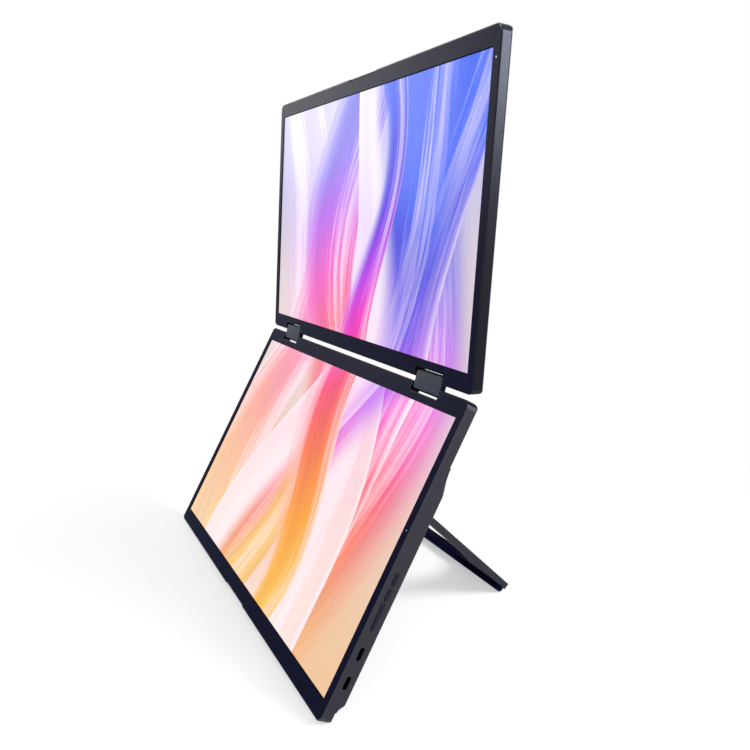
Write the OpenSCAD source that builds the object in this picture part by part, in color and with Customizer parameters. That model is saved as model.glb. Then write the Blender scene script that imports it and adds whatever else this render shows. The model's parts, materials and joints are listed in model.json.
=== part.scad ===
// Screen extender for a laptop: two 15.6 inch portable displays, one above the
// other, joined by two double-axis friction hinges, with a fold-out U-shaped stand
// behind the lower display.
// Millimetres. +Z up, -Y towards the user, +X to the user's right.
// The origin is on the desk, in the middle of the footprint of the bounding box.
//
// Panel frame: both displays are drawn with the hinge edge at z = 0, the front face
// at y = 0 and the free edge at z = panel_h. The lower display is mirrored in z.

/* [Display] */
// Width of the picture
active_w = 344.2; // [300:0.1:400]
// Height of the picture
active_h = 193.6; // [160:0.1:230]
// Front frame beside the picture
side_border = 7.8; // [6.5:0.1:14]
// Front frame between the picture and the hinge edge
hinge_border = 13.1; // [12.5:0.1:20]
// Front frame between the picture and the free edge
free_border = 12.8; // [12:0.1:20]
// Thickness of a display
panel_t = 8.3; // [8:0.1:11]
// Radius of the four corners, seen from the front
corner_r = 6; // [4:0.5:9]
// Rounding of the back edges
back_r = 1.5; // [1:0.1:2]
// Rounding of the front edges
front_r = 0.9; // [0.4:0.1:0.9]
// Wall of the plastic parts
wall = 1.6; // [1.4:0.1:1.8]
// Thickness of the front plate round the picture
plate_t = 1; // [0.8:0.1:1.2]
// Depth of the front frame
frame_d = 3; // [2.6:0.1:3.4]
// Width of the back shell's rim round the front frame
rim_w = 0.9; // [0.8:0.1:1]
// Thickness of the glass stack
glass_t = 1.3; // [1:0.1:1.5]
// Thickness of the backlight tray
tray_t = 1.7; // [1.4:0.1:1.8]
// Width of the finger notch at its mouth
finger_w = 47; // [30:1:60]
// Depth of the finger notch
finger_d = 2.2; // [2:0.1:3]
// Depth at which the finger notch starts to slope out
finger_ledge = 0.3; // [0.2:0.1:0.6]
// Depth over which it slopes out
finger_run = 1.4; // [1.2:0.1:2]

/* [Electronics bulge] */
// Thickness of the lower display at the bulge
bulge_t = 12.6; // [12:0.1:16]
// Distance from the hinge edge to the foot of the upper ramp
bulge_start = 49; // [40:0.5:50]
// Length of the upper ramp
ramp_in = 15; // [12:0.5:18]
// Distance from the end of the flat back to the free edge
bulge_free = 15.5; // [14.5:0.5:20]
// Length of the lower ramp
ramp_out = 4.5; // [4:0.1:6]
// Radius of the hollow at the foot of the upper ramp
ramp_r = 40; // [20:1:40]
// Radius of the hollow at the foot of the lower ramp
ramp_out_r = 5; // [3:0.5:5]

/* [Double hinge] */
// Angle by which the upper display leans towards the user from flat
fold_angle = 25.35; // [0:0.05:60]
// Distance between the two axes of a hinge
axis_pitch = 10; // [9.8:0.1:12]
// Depth of the axes behind the front faces
axis_depth = 3.3; // [3.2:0.1:3.6]
// Gap between the two displays when they are flat
flat_gap = 4.4; // [4:0.1:4.6]
// Distance from the display's side to the middle of a hinge block
block_side = 52.5; // [45:0.1:56]
// Width of a hinge block
block_w = 33; // [24:0.5:34]
// Height of a hinge block
block_h = 16.2; // [15.6:0.1:16.6]
// Thickness of a hinge block
block_t = 5.5; // [5.4:0.1:6]
// Height of the raised face of a hinge block
block_face_h = 13.6; // [13.2:0.1:14.4]
// Thickness of that raised face
block_face_t = 0.8; // [0.6:0.1:0.9]
// Rounding of a hinge block along its long edges
block_r = 2.1; // [1.5:0.05:2.2]
// Rounding of the ends of a hinge block
block_end_r = 2; // [0.8:0.1:2.2]
// Depth of the notch that a hinge block sits in
notch_d = 7.2; // [7:0.1:7.4]
// Gap between a hinge block and the side of its notch
notch_gap = 1.2; // [0.6:0.1:1.5]
// Radius of the hinge shafts
shaft_r = 1.25; // [1:0.05:1.3]
// Radial running clearance of shafts and pins
run_gap = 0.05; // [0.03:0.01:0.08]

/* [Stand] */
// Angle by which the lower display leans back on its stand
lean = 35; // [20:0.5:42]
// Gap between the foot of the bulge and the folded foot strip
foot_clear = 1; // [0.6:0.1:1.5]
// Distance from the hinge edge to the stand's axis
stand_axis_z = 74.5; // [74:0.1:76]
// Width of the stand over both arms
stand_w = 250; // [200:1:256]
// Width of one arm
arm_w = 12; // [9:0.5:16]
// Thickness of the arms
arm_t = 5; // [4:0.1:5.4]
// Width of the bar at the tip
bar_w = 9; // [8.5:0.1:14]
// Radius of the window's corners
window_r = 54; // [20:1:60]
// Rounding of the stand's outer edges
stand_edge_r = 0.6; // [0.4:0.1:0.6]
// Radius of the stand's pins
pin_r = 1.25; // [1:0.05:1.4]
// Gap between the folded stand and the back
fold_gap = 0.3; // [0.2:0.05:0.4]
// Width of the rubber foot strip
foot_w = 8; // [6:0.5:8]
// Rounding of the foot strip
foot_r = 1.8; // [0.8:0.1:2]
// Thickness of the ears that hold a stand pin
ear_t = 1.6; // [1.2:0.1:2]
// Gap between an arm and its ears
ear_gap = 0.3; // [0.2:0.05:0.4]

/* [Side keys and sockets] */
// Distance of the keys and sockets from the front face
side_y = 5.7; // [5.5:0.1:6]
// Distance from the middle of the rocker to the first USB-C socket
rocker_to_socket = 25.1; // [24:0.1:30]
// Length of the power and menu keys
key_len = 8.4; // [7:0.1:9]
// Length of the rocker
rocker_len = 18.4; // [15:0.1:19]
// Wall left between two keys
key_land = 1.8; // [1.8:0.1:2.4]
// Width of the keys
key_w = 2.8; // [2.4:0.1:3]
// Gap round a key
key_gap = 0.25; // [0.2:0.05:0.3]
// Travel of the power and menu keys
key_travel = 0.3; // [0.2:0.05:0.35]
// Depth by which the keys lie below the side wall
key_sink = 0.3; // [0.1:0.05:0.4]
// Distance from the last USB-C socket to the free edge
socket_free = 28.9; // [26:0.1:30]
// Distance between the two USB-C sockets
socket_pitch = 19.5; // [16:0.1:20]
// Width of a USB-C socket's shell
socket_w = 8.94; // [8.8:0.01:9.2]
// Height of a USB-C socket's shell
socket_h = 3.2; // [3:0.01:3.3]
// Depth of a USB-C socket
socket_d = 7.4; // [6.5:0.1:8]

/* [Wall mount] */
// Side of the square of threaded standoffs
vesa_pitch = 75; // [75, 100]
// Distance from the hinge edge to the middle of that square
vesa_z = 135; // [130:0.5:140]
// Radius of the thread's core hole
insert_bore_r = 1.65; // [1.6:0.05:2]
// Length of a threaded standoff
insert_len = 5.6; // [4:0.1:5.8]
// Depth of the countersink at a standoff's mouth
insert_lead = 0.3; // [0.2:0.05:0.5]
// Radius of the holes in the back in front of the standoffs
vesa_hole_r = 2.3; // [2.2:0.1:2.6]

/* [Hidden] */
$fn = 64;

// Overall sizes of one display
panel_w = active_w + 2 * side_border;
panel_h = active_h + hinge_border + free_border;
bulge_end = panel_h - bulge_free;  // end of the flat back
floor_y = panel_t - wall;          // inner face of the thin back wall
bulge_floor_y = bulge_t - wall;    // inner face of the bulge's back wall
bulge_rise = bulge_t - panel_t;
cut = 1;                           // how far a cutting body runs past a face
seat = 0.3;                        // clearance round a loosely seated piece

// Glass stack and backlight tray behind the front plate
mask = 0.5;                        // black border of the glass inside the frame's window
module_border = 2.8;               // glass beyond the picture, at the sides
module_free_border = 7.4;          // and along the free edge, where its drivers are
module_z0 = hinge_border - module_border;
module_z1 = hinge_border + active_h + module_free_border;
glass_y = plate_t;
tray_y = glass_y + glass_t;
tray_back_y = tray_y + tray_t;
driver_board_size = [120, 1, 5.4];
driver_z0 = module_z1 - driver_board_size[2] - seat;
driver_chip = [11, 0.7, 3.6];
driver_chip_n = 4;
driver_chip_pitch = 26;

// Double hinge
axis_inset = (axis_pitch - flat_gap) / 2;   // axis inside the hinge edge
block_face_r = 0.4;                         // rounding along the raised face's long edges
block_x = panel_w / 2 - block_side;
notch_w = block_w + 2 * notch_gap;
notch_r = 0.8;
notch_in_x = block_x - notch_w / 2;         // the notch's side towards the middle
pocket_x1 = notch_in_x - wall;
knuckle_len = 10;
knuckle_wall = 0.75;
knuckle_x0 = pocket_x1 - seat - knuckle_len;
washer_r = 1.85;
washer_t = 0.4;
washer_n = 4;
washer_x0 = knuckle_x0 - washer_n * washer_t;
nut_t = 1.8;
nut_x0 = washer_x0 - nut_t;
shaft_x0 = nut_x0 - 0.4;
shaft_x1 = block_x + block_w / 2 - 1.2;
pocket_x0 = shaft_x0 - 1;
pocket_skin = 0.65;                         // plastic left between pocket and hinge edge
bracket_len = 44;                           // from the notch to the bracket's far end
bracket_x0 = notch_in_x - bracket_len;
bracket_t = 1;
bracket_z1 = module_z0 - 0.8;
bracket_screw_x = [bracket_x0 + 5, bracket_x0 + 15];
screw_r = 1;
screw_head_r = 1.9;
screw_head_t = 1;
bite = 1.2;                                 // length of a screw in a thin wall

// Case screws along the hinge strip
case_screw_x = [bracket_x0 - 15.7, panel_w / 2 - 13];
case_screw_z = (module_z0 + wall) / 2;
case_boss_r = 2.9;

// Status light beside the picture
light_x = panel_w / 2 - wall - 2.1;
light_r = 0.6;
lower_light_z = 90;
upper_light_z = panel_h - 19;

// Stand
stand_axis_y = bulge_t + fold_gap + arm_t / 2;
foot_in = stand_axis_y - panel_t - fold_gap;   // inner face of the foot, from the axis plane
foot_tongue = 1.2;
foot_tip = 0.6;                                // bar beyond the foot strip
foot_end = bulge_end + ramp_out + foot_clear + foot_w - stand_axis_z;
stand_len = foot_end + foot_tip;               // from the stand's axis to its tip
foot_inset_x = 4;
foot_half = stand_w / 2 - foot_inset_x;
tongue_w = 3;
tongue_inset_x = 3;
stand_tip_r = 5;
arm_x = stand_w / 2 - arm_w / 2;
bracket_w = arm_w + 2 * (ear_gap + ear_t);
ear_r = arm_t / 2 + 0.2;
base_t = 0.8;
base_sink = 0.8;
base_h = 15;
base_wing = 7;
base_r = 2;
bracket_boss_r = 2.6;
bracket_boss_len = 3;
bracket_screw_len = 4.4;
bracket_boss_x = [arm_x - bracket_w / 2 - base_wing / 2, arm_x + bracket_w / 2 + base_wing / 2];
pin_x0 = arm_x - bracket_w / 2 + 0.2;
pin_x1 = arm_x + bracket_w / 2 - 0.2;

// Steel plate inside the bulge with threaded standoffs for a monitor arm
insert_y0 = bulge_floor_y - insert_len;
vesa_plate_t = 1;
vesa_plate_y1 = insert_y0 + vesa_plate_t;
vesa_plate_rim = 6;                // plate beyond the middle of a standoff
vesa_plate_half = vesa_pitch / 2 + vesa_plate_rim;
vesa_plate_r = 4;
insert_r = 3.6;
insert_shank_r = 2.7;              // the part that is pressed into the plate
vesa_plate_screw_len = 4;
vesa_plate_screw_at = vesa_pitch / 2;

// Rubber bumpers on the lower display's bottom back corner
corner_fillet = 3;
bumper_in_r = corner_fillet - 1;
bumper_len = 24;
bumper_x0 = (stand_w / 2 + panel_w / 2 - bumper_len) / 2;
bumper_x1 = bumper_x0 + bumper_len;
bumper_stand = 0.6;                // how far the bumpers stand proud
bumper_cheek = 1;                  // solid plastic at the ends of a bumper
bumper_r = corner_fillet + bumper_stand;
bumper_cut_y = 1.5;                // the bumper runs on past its corner by this, forwards
bumper_cut_z = 0.5;                // and upwards
bumper_y = panel_t - corner_fillet;
bumper_z = panel_h - corner_fillet;

// Pose at rest: the bumpers and the foot strip both touch the desk
half_fold = fold_angle / 2;
desk_drop = bumper_z * cos(lean) + bumper_y * sin(lean) + bumper_r;
axis_drop = stand_axis_z * cos(lean) + stand_axis_y * sin(lean);
foot_arm = [foot_end - foot_r, foot_in - foot_r];   // centre of the foot's rounding
foot_reach = norm(foot_arm);
swing = atan2(foot_arm[1], foot_arm[0]) + acos((desk_drop - axis_drop - foot_r) / foot_reach);
stand_open = lean + swing;
rear_y = stand_axis_y * cos(lean) - stand_axis_z * sin(lean) + stand_edge_r
    + (stand_len - stand_edge_r) * sin(swing) + (arm_t / 2 - stand_edge_r) * cos(swing);
front_y = -(panel_h - front_r) * sin(lean) + front_r * cos(lean) - front_r;
middle_y = (rear_y + front_y) / 2;

// Places along the right side, from the free edge up
socket_gap = 0.1;
socket_sink = 0.2;
socket_z = panel_h - socket_free - socket_pitch;
rocker_z = socket_z - rocker_to_socket;
menu_z = rocker_z - rocker_len / 2 - key_land - key_len / 2;
power_z = menu_z - key_len - key_land;

// Controller board, in the bulge on the side of the sockets
board_t = 1;
board_y = side_y + socket_h / 2;               // front face, under the sockets
board_x0 = vesa_plate_half + 3;
board_z0 = vesa_z - 28;
board_z1 = bulge_end - 4;
board_neck_z = socket_z - 8;
board_x1 = panel_w / 2 - 27;
board_post_r = 2.4;
board_posts = [[board_x0 + 4, board_z0 + 4], [board_x1 - 4, board_z0 + 4],
    [board_x0 + 4, board_z1 - 4], [board_x1 - 4, board_z1 - 4]];
board_hole_r = 1.3;
// Each chip: corner in x and z, width, height and thickness
board_chips = [[board_x0 + 22, board_z0 + 34, 14, 14, 1.1],
    [board_x0 + 48, board_z0 + 30, 8, 8, 1], [board_x0 + 46, board_z0 + 56, 9, 6, 1.6],
    [board_x0 + 8, board_z0 + 60, 20, 4, 2], [board_x1 - 20, board_z0 + 22, 5, 9, 1.4]];
coil_r = 3;
coil_t = 1.9;
coil_at = [board_x0 + 34, board_z0 + 16];      // the first of a row of coils
coil_n = 4;
coil_pitch = 9;

// Keys: cap in the wall, flange inside it, switch behind
side_x = panel_w / 2;
flange_t = 0.8;
flange_rim = 0.8;
flange_gap = 0.1;
rocker_tilt_gap = 0.35;
stem_len = 0.6;
cap_face_x = side_x - key_sink;
flange_x1 = side_x - wall - flange_gap;
rocker_flange_x1 = side_x - wall - rocker_tilt_gap;
key_board_t = 1;
switch_w = 3;
switch_h = 2.6;
switch_t = 2;
plunger_len = 0.6;
plunger_r = 0.8;
switch_body_x0 = side_x - wall - flange_gap - flange_t - stem_len - key_travel
    - switch_t - plunger_len;
stem_r = 0.9;
rocker_press = rocker_len / 2 - 3;             // from the rocker's middle to its stems
switch_zs = [power_z, menu_z, rocker_z - rocker_press, rocker_z + rocker_press];
key_board_z0 = power_z - key_len - 2;
key_board_z1 = rocker_z + rocker_len / 2 + 4;
key_board_w = 4.6;
key_post = [1.4, 3];

// Speakers
speaker_size = [36, 5, 18];
speaker_x = panel_w / 2 - 28;
speaker_z = 90;
speaker_gap = 0.2;
speaker_rim = 1;
speaker_frame_h = 2.5;
cone = [32, 13];
cone_d = 0.8;

// Vents and ribs
vent_n = 15;
vent_pitch = 6;
vent_len = 12;
vent_w = 2;
vent_z = 84;
grille_cols = 9;
grille_rows = 3;
grille_pitch = 3.2;
grille_r = 0.8;
rib_t = 1.2;
lower_rib_n = 5;
upper_rib_n = 6;
rib_end_gap = 2;

// Colours
ink = [0.12, 0.13, 0.19];
slate = [0.20, 0.21, 0.26];
graphite = [0.29, 0.30, 0.34];
steel = [0.62, 0.63, 0.65];
brass = [0.80, 0.66, 0.36];
board_green = [0.08, 0.30, 0.22];
rubber = [0.06, 0.06, 0.07];

// ---- Placing ----

// Lower display: y is depth, z runs up towards the hinge edge at z = 0
module in_lower() {
    translate([0, -middle_y, desk_drop]) rotate([-lean, 0, 0]) children();
}

// Lower display drawn in the panel frame
module on_lower() {
    in_lower() mirror([0, 0, 1]) children();
}

// Hinge blocks: origin on the lower axis, z towards the upper axis
module on_link() {
    in_lower() translate([0, axis_depth, -axis_inset]) rotate([half_fold, 0, 0]) children();
}

// Upper display drawn in the panel frame
module on_upper() {
    on_link() translate([0, 0, axis_pitch]) rotate([half_fold, 0, 0])
        translate([0, -axis_depth, -axis_inset]) children();
}

// Stand: origin on its axis, -z along the arms, +y the outer face
module on_stand() {
    in_lower() translate([0, stand_axis_y, -stand_axis_z]) rotate([stand_open, 0, 0])
        children();
}

// Right-hand side as drawn, and its mirror image on the left
module both_sides() {
    children();
    mirror([1, 0, 0]) children();
}

module on_side(side) {
    if (side > 0) children();
    else mirror([1, 0, 0]) children();
}

// ---- Extrusions ----

// A drawing in (x, z), from depth y0 to y1
module along_y(y0, y1) {
    translate([0, y1, 0]) rotate([90, 0, 0]) linear_extrude(y1 - y0) children();
}

// A drawing in (y, z), from x0 to x1
module along_x(x0, x1) {
    translate([x0, 0, 0]) rotate([90, 0, 90]) linear_extrude(x1 - x0) children();
}

// A drawing in (x, y), from z0 to z1
module along_z(z0, z1) {
    translate([0, 0, z0]) linear_extrude(z1 - z0) children();
}

// A round bar along x
module bar_x(r, x0, x1) {
    translate([x0, 0, 0]) rotate([0, 90, 0]) cylinder(r = r, h = x1 - x0);
}

// A round bar along y
module bar_y(r, y0, y1) {
    translate([0, y1, 0]) rotate([90, 0, 0]) cylinder(r = r, h = y1 - y0);
}

// ---- Flat drawings ----

// Rectangle with round corners, from corner a to corner b
module round_rect(a, b, r) {
    translate([a[0] + r, a[1]]) square([b[0] - a[0] - 2 * r, b[1] - a[1]]);
    translate([a[0], a[1] + r]) square([b[0] - a[0], b[1] - a[1] - 2 * r]);
    for (x = [a[0] + r, b[0] - r], y = [a[1] + r, b[1] - r]) translate([x, y]) circle(r);
}

// Cross-section of a slab: u from u0 to u1, depth d, front corners r0, back corners r1
module slab_section(u0, u1, d, r0, r1) {
    translate([u0, r0]) square([u1 - u0, d - r0 - r1]);
    translate([u0 + r0, 0]) square([u1 - u0 - 2 * r0, d / 2]);
    translate([u0 + r1, d / 2]) square([u1 - u0 - 2 * r1, d / 2]);
    for (u = [u0 + r0, u1 - r0]) translate([u, r0]) circle(r0);
    for (u = [u0 + r1, u1 - r1]) translate([u, d - r1]) circle(r1);
}

// Slot with round ends, centred
module slot(len, w) {
    square([len - w, w], center = true);
    for (s = [-1, 1]) translate([s * (len - w) / 2, 0]) circle(w / 2);
}

// Notch for a hinge block, grown by rim
module notch_outline(rim = 0) {
    half = notch_w / 2 + rim;
    r = notch_r + rim;
    translate([block_x - half, -cut]) square([2 * half, notch_d + rim - r + cut]);
    translate([block_x - half + r, -cut]) square([2 * (half - r), notch_d + rim + cut]);
    for (s = [-1, 1]) translate([block_x + s * (half - r), notch_d + rim - r]) circle(r);
}

// Outline of a display, drawn in by inset
module panel_outline(inset = 0) {
    difference() {
        round_rect([-panel_w / 2 + inset, inset], [panel_w / 2 - inset, panel_h - inset],
            corner_r - inset);
        for (s = [0, 1]) mirror([s, 0]) notch_outline(inset);
    }
}

// Mouth of the finger notch, with slanting ends
module finger_outline() {
    bottom = finger_w / 2 - finger_d;
    mouth = finger_w / 2 + cut;
    polygon([[-bottom, panel_h - finger_d], [bottom, panel_h - finger_d],
        [mouth, panel_h + cut], [-mouth, panel_h + cut]]);
}

// Inside of the front frame, with the finger notch's solid pad left standing
module frame_cavity_outline() {
    difference() {
        panel_outline(wall);
        translate([-finger_w / 2 - wall, panel_h - finger_d - wall])
            square([finger_w + 2 * wall, finger_d + wall]);
    }
}

// Outline of the glass and tray
module module_outline(inset = 0) {
    half = active_w / 2 + module_border - inset;
    translate([-half, module_z0 + inset]) square([2 * half, module_z1 - module_z0 - 2 * inset]);
}

// Side view of the bulge, in (depth, z), drawn in by inset
module bulge_section(inset = 0) {
    in_shift = inset * tan(atan2(bulge_rise, ramp_in) / 2);
    out_shift = inset * tan(atan2(bulge_rise, ramp_out) / 2);
    y0 = panel_t - inset;
    y1 = bulge_t - inset;
    z0 = bulge_start + in_shift;
    z3 = bulge_end + ramp_out - out_shift;
    polygon([[frame_d, z0], [y0, z0], [y1, z0 + ramp_in], [y1, z3 - ramp_out], [y0, z3],
        [frame_d, z3]]);
}

// Hollow of radius r that eases the thin back into a ramp of this run, rising towards +z
module ramp_foot(run, r) {
    slope = atan2(bulge_rise, run);
    t = r * tan(slope / 2);
    difference() {
        polygon([[panel_t - cut, -t], [panel_t, -t],
            [panel_t + t * sin(slope), t * cos(slope)], [panel_t - cut, t]]);
        translate([panel_t + r, -t]) circle(r, $fn = 256);
    }
}

// ---- Shared forms of both displays ----

// Slab with the display's outline, rounded front and back edges and a fuller
// rounding at the back of the free edge
module panel_slab(depth) {
    difference() {
        intersection() {
            along_y(0, depth) panel_outline();
            along_x(-panel_w / 2, panel_w / 2)
                mirror([1, -1]) slab_section(0, panel_h, depth, front_r, back_r);
            along_z(0, panel_h)
                slab_section(-panel_w / 2, panel_w / 2, depth, front_r, back_r);
        }
        along_x(-panel_w / 2 - cut, panel_w / 2 + cut)
            translate([panel_t - corner_fillet, panel_h - corner_fillet]) difference() {
                square(corner_fillet + cut);
                circle(corner_fillet);
            }
    }
}

// Room for the front frame inside the shell's rim
module frame_seat() {
    along_y(-cut, frame_d) panel_outline(rim_w);
}

// Scoop for a finger at the free edge: a short ledge, then sloping out
module finger_scoop() {
    scoop_d = finger_ledge + finger_run;
    intersection() {
        along_y(-cut, scoop_d) finger_outline();
        along_x(-finger_w, finger_w)
            polygon([[-cut, panel_h - finger_d], [finger_ledge, panel_h - finger_d],
                [scoop_d, panel_h], [scoop_d, panel_h + cut], [-cut, panel_h + cut]]);
    }
}

// Room for the knuckles, washers and nut inboard of a notch, and the shaft's hole
module hinge_pocket() {
    translate([pocket_x0, plate_t, pocket_skin])
        cube([pocket_x1 - pocket_x0, floor_y - plate_t, module_z0 - pocket_skin]);
    translate([0, axis_depth, axis_inset]) bar_x(shaft_r + seat, pocket_x0, notch_in_x + cut);
}

module case_screw_places() {
    both_sides() for (x = case_screw_x) translate([x, 0, case_screw_z]) children();
}

// Front frame, let into the shell's rim
module bezel(light_z) {
    difference() {
        intersection() {
            panel_slab(panel_t);
            frame_seat();
        }
        difference() {
            along_y(plate_t, frame_d + cut) frame_cavity_outline();
            case_screw_places() bar_y(case_boss_r, 0, frame_d + cut);
        }
        along_y(-cut, frame_d + cut)
            translate([-active_w / 2 - mask, hinge_border - mask])
            square([active_w + 2 * mask, active_h + 2 * mask]);
        finger_scoop();
        both_sides() hinge_pocket();
        case_screw_places() bar_y(screw_r, plate_t, frame_d + cut);
        translate([light_x, 0, light_z]) bar_y(light_r, -cut, frame_d);
    }
}

// Glass stack, with the picture in its middle
module screen() {
    along_y(glass_y, tray_y) module_outline();
}

// Backlight tray: pressed sheet with a raised rim and two long beads
module backlight() {
    bead = 0.4;
    bead_w = 4;
    difference() {
        along_y(tray_y, tray_back_y) module_outline();
        along_y(tray_back_y - bead, tray_back_y + cut) difference() {
            module_outline(6);
            for (f = [0.33, 0.67])
                translate([0, module_z0 + f * (module_z1 - module_z0)])
                    square([active_w, bead_w], center = true);
            for (x = [-1, 0, 1]) translate([x * active_w / 3, 0])
                translate([-bead_w / 2, 0]) square([bead_w, panel_h]);
        }
    }
}

// Board with the display's drivers, on the back of the tray along the free edge
module driver_board() {
    color(board_green) translate([-driver_board_size[0] / 2, tray_back_y, driver_z0])
        cube(driver_board_size);
    color(ink) for (i = [0 : driver_chip_n - 1])
        translate([(i - (driver_chip_n - 1) / 2) * driver_chip_pitch - driver_chip[0] / 2,
            tray_back_y + driver_board_size[1],
            driver_z0 + (driver_board_size[2] - driver_chip[2]) / 2]) cube(driver_chip);
}

// Places of n ribs spread evenly over the width of the picture
function rib_places(n) = [for (i = [1 : n]) (i / (n + 1) - 0.5) * active_w];

// Ribs that support the tray from behind, standing on the back wall at back_y
module tray_ribs(z0, z1, xs, back_y) {
    for (x = xs) translate([x - rib_t / 2, tray_back_y, z0])
        cube([rib_t, back_y - tray_back_y, z1 - z0]);
}

// Blocks on the side walls that hold the tray sideways
module tray_stops() {
    stop_len = 12;
    stop_x = active_w / 2 + module_border + 0.2;
    for (z = [24, power_z - 22, bulge_end - 5]) both_sides()
        translate([stop_x, frame_d, z])
            cube([panel_w / 2 - wall / 2 - stop_x, tray_back_y + 1 - frame_d, stop_len]);
}

// Screw bosses of the hinge strip
module case_bosses() {
    case_screw_places() bar_y(case_boss_r, frame_d, floor_y + wall / 2);
}

module case_screw_holes() {
    case_screw_places() {
        bar_y(screw_r, frame_d - cut, panel_t + cut);
        bar_y(screw_head_r + 0.15, panel_t - screw_head_t - 0.2, panel_t + cut);
    }
}

// Screws of the case, with cross recesses
module case_screws() {
    color(steel) case_screw_places() screw_from_back(panel_t - 0.2, panel_t - plate_t - 0.6);
}

// A screw whose head's face is at depth y, pointing to the front
module screw_from_back(y, len) {
    difference() {
        union() {
            bar_y(screw_r, y - len, y);
            bar_y(screw_head_r, y - screw_head_t, y);
        }
        for (a = [0, 90]) rotate([0, a, 0]) translate([-1.1, y - 0.5, -0.25])
            cube([2.2, 0.5 + cut, 0.5]);
    }
}

// A screw whose head's face is at depth y, pointing to the back
module screw_from_front(y, len) {
    translate([0, 2 * y, 0]) mirror([0, 1, 0]) screw_from_back(y, len);
}

// Hinge bracket: knuckle on the shaft and a flange screwed to the back wall
module hinge_bracket() {
    knuckle_y0 = axis_depth - shaft_r - run_gap - knuckle_wall;
    knuckle_z0 = axis_inset - shaft_r - run_gap - knuckle_wall;
    knuckle_z1 = axis_inset + shaft_r + run_gap + knuckle_wall;
    color(steel) difference() {
        union() {
            translate([bracket_x0, floor_y - bracket_t, knuckle_z0])
                cube([pocket_x1 - seat - bracket_x0, bracket_t, bracket_z1 - knuckle_z0]);
            along_x(knuckle_x0, knuckle_x0 + knuckle_len) {
                translate([axis_depth, knuckle_z0])
                    square([floor_y - axis_depth, knuckle_z1 - knuckle_z0]);
                translate([axis_depth, axis_inset]) circle(axis_depth - knuckle_y0);
            }
        }
        translate([0, axis_depth, axis_inset])
            bar_x(shaft_r + run_gap, knuckle_x0 - cut, knuckle_x0 + knuckle_len + cut);
        for (x = bracket_screw_x) translate([x, 0, bracket_z1 - 4])
            bar_y(screw_r, floor_y - bracket_t - cut, floor_y + cut);
        translate([bracket_x0 - cut, floor_y - bracket_t - cut, knuckle_z0 - cut])
            cube([knuckle_x0 - bracket_x0 - 2 + cut, 2 * cut + bracket_t, wall + 0.4]);
    }
}

module bracket_screws() {
    color(steel) both_sides() for (x = bracket_screw_x)
        translate([x, 0, bracket_z1 - 4])
            screw_from_front(floor_y - bracket_t - screw_head_t,
                screw_head_t + bracket_t + bite);
}

module bracket_screw_holes() {
    both_sides() for (x = bracket_screw_x)
        translate([x, 0, bracket_z1 - 4]) bar_y(screw_r, floor_y - cut, floor_y + bite);
}

// Light guide behind the hole in the frame
module status_light(z) {
    color([0.85, 0.9, 0.95, 0.8]) translate([light_x, 0, z]) {
        bar_y(light_r, 0, frame_d);
        bar_y(light_r + 0.6, plate_t, plate_t + 1);
    }
}

// ---- Lower display ----

module lower_bezel() {
    color(ink) on_lower() bezel(lower_light_z);
}

module lower_screen() {
    color([0.75, 0.62, 0.80]) on_lower() screen();
}

module lower_backlight() {
    color(steel) on_lower() backlight();
}

module lower_driver_board() {
    on_lower() driver_board();
}

module lower_status_light() {
    on_lower() status_light(lower_light_z);
}

// Outer form of the lower display: thin slab and bulge
module lower_form() {
    panel_slab(panel_t);
    intersection() {
        along_y(0, bulge_t) panel_outline();
        along_x(-panel_w / 2, panel_w / 2) union() {
            bulge_section();
            translate([0, bulge_start]) ramp_foot(ramp_in, ramp_r);
            translate([0, bulge_end + ramp_out]) mirror([0, 1]) ramp_foot(ramp_out, ramp_out_r);
        }
        along_z(0, panel_h) slab_section(-panel_w / 2, panel_w / 2, bulge_t, front_r, back_r);
    }
}

module vesa_places() {
    for (x = [-1, 1], z = [-1, 1])
        translate([x * vesa_pitch / 2, 0, vesa_z + z * vesa_pitch / 2]) children();
}

// Places of the plate's screws, in the middle of its four sides
module vesa_screw_places() {
    for (p = [[-1, 0], [1, 0], [0, -1], [0, 1]])
        translate([p[0] * vesa_plate_screw_at, 0, vesa_z + p[1] * vesa_plate_screw_at]) children();
}

module vesa_bosses() {
    vesa_screw_places() bar_y(board_post_r, vesa_plate_y1, bulge_floor_y + wall / 2);
}

module vesa_holes() {
    vesa_places() bar_y(vesa_hole_r, bulge_floor_y - cut, bulge_t + cut);
    vesa_screw_places()
        bar_y(screw_r, vesa_plate_y1 - cut, insert_y0 - screw_head_t + vesa_plate_screw_len);
}

// Square frame of sheet steel
module vesa_plate() {
    half = vesa_plate_half;
    inner = vesa_pitch / 2 - vesa_plate_rim;
    color(steel) on_lower() difference() {
        along_y(insert_y0, vesa_plate_y1) translate([0, vesa_z]) difference() {
            round_rect([-half, -half], [half, half], vesa_plate_r);
            round_rect([-inner, -inner], [inner, inner], vesa_plate_r);
        }
        vesa_places() bar_y(insert_shank_r, insert_y0 - cut, vesa_plate_y1 + cut);
        vesa_screw_places() bar_y(screw_r, insert_y0 - cut, vesa_plate_y1 + cut);
    }
}

module vesa_plate_screws() {
    color(steel) on_lower() vesa_screw_places()
        screw_from_front(insert_y0 - screw_head_t, vesa_plate_screw_len);
}

// Threaded standoffs, pressed into the plate and seated on the back wall
module vesa_inserts() {
    color(brass) on_lower() vesa_places() difference() {
        union() {
            bar_y(insert_shank_r, insert_y0, bulge_floor_y);
            bar_y(insert_r, vesa_plate_y1, bulge_floor_y);
        }
        bar_y(insert_bore_r, insert_y0 - cut, bulge_floor_y + cut);
        translate([0, bulge_floor_y - insert_lead, 0]) rotate([-90, 0, 0])
            cylinder(r1 = insert_bore_r, r2 = insert_bore_r + insert_lead + cut,
                h = insert_lead + cut);
    }
}

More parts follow.
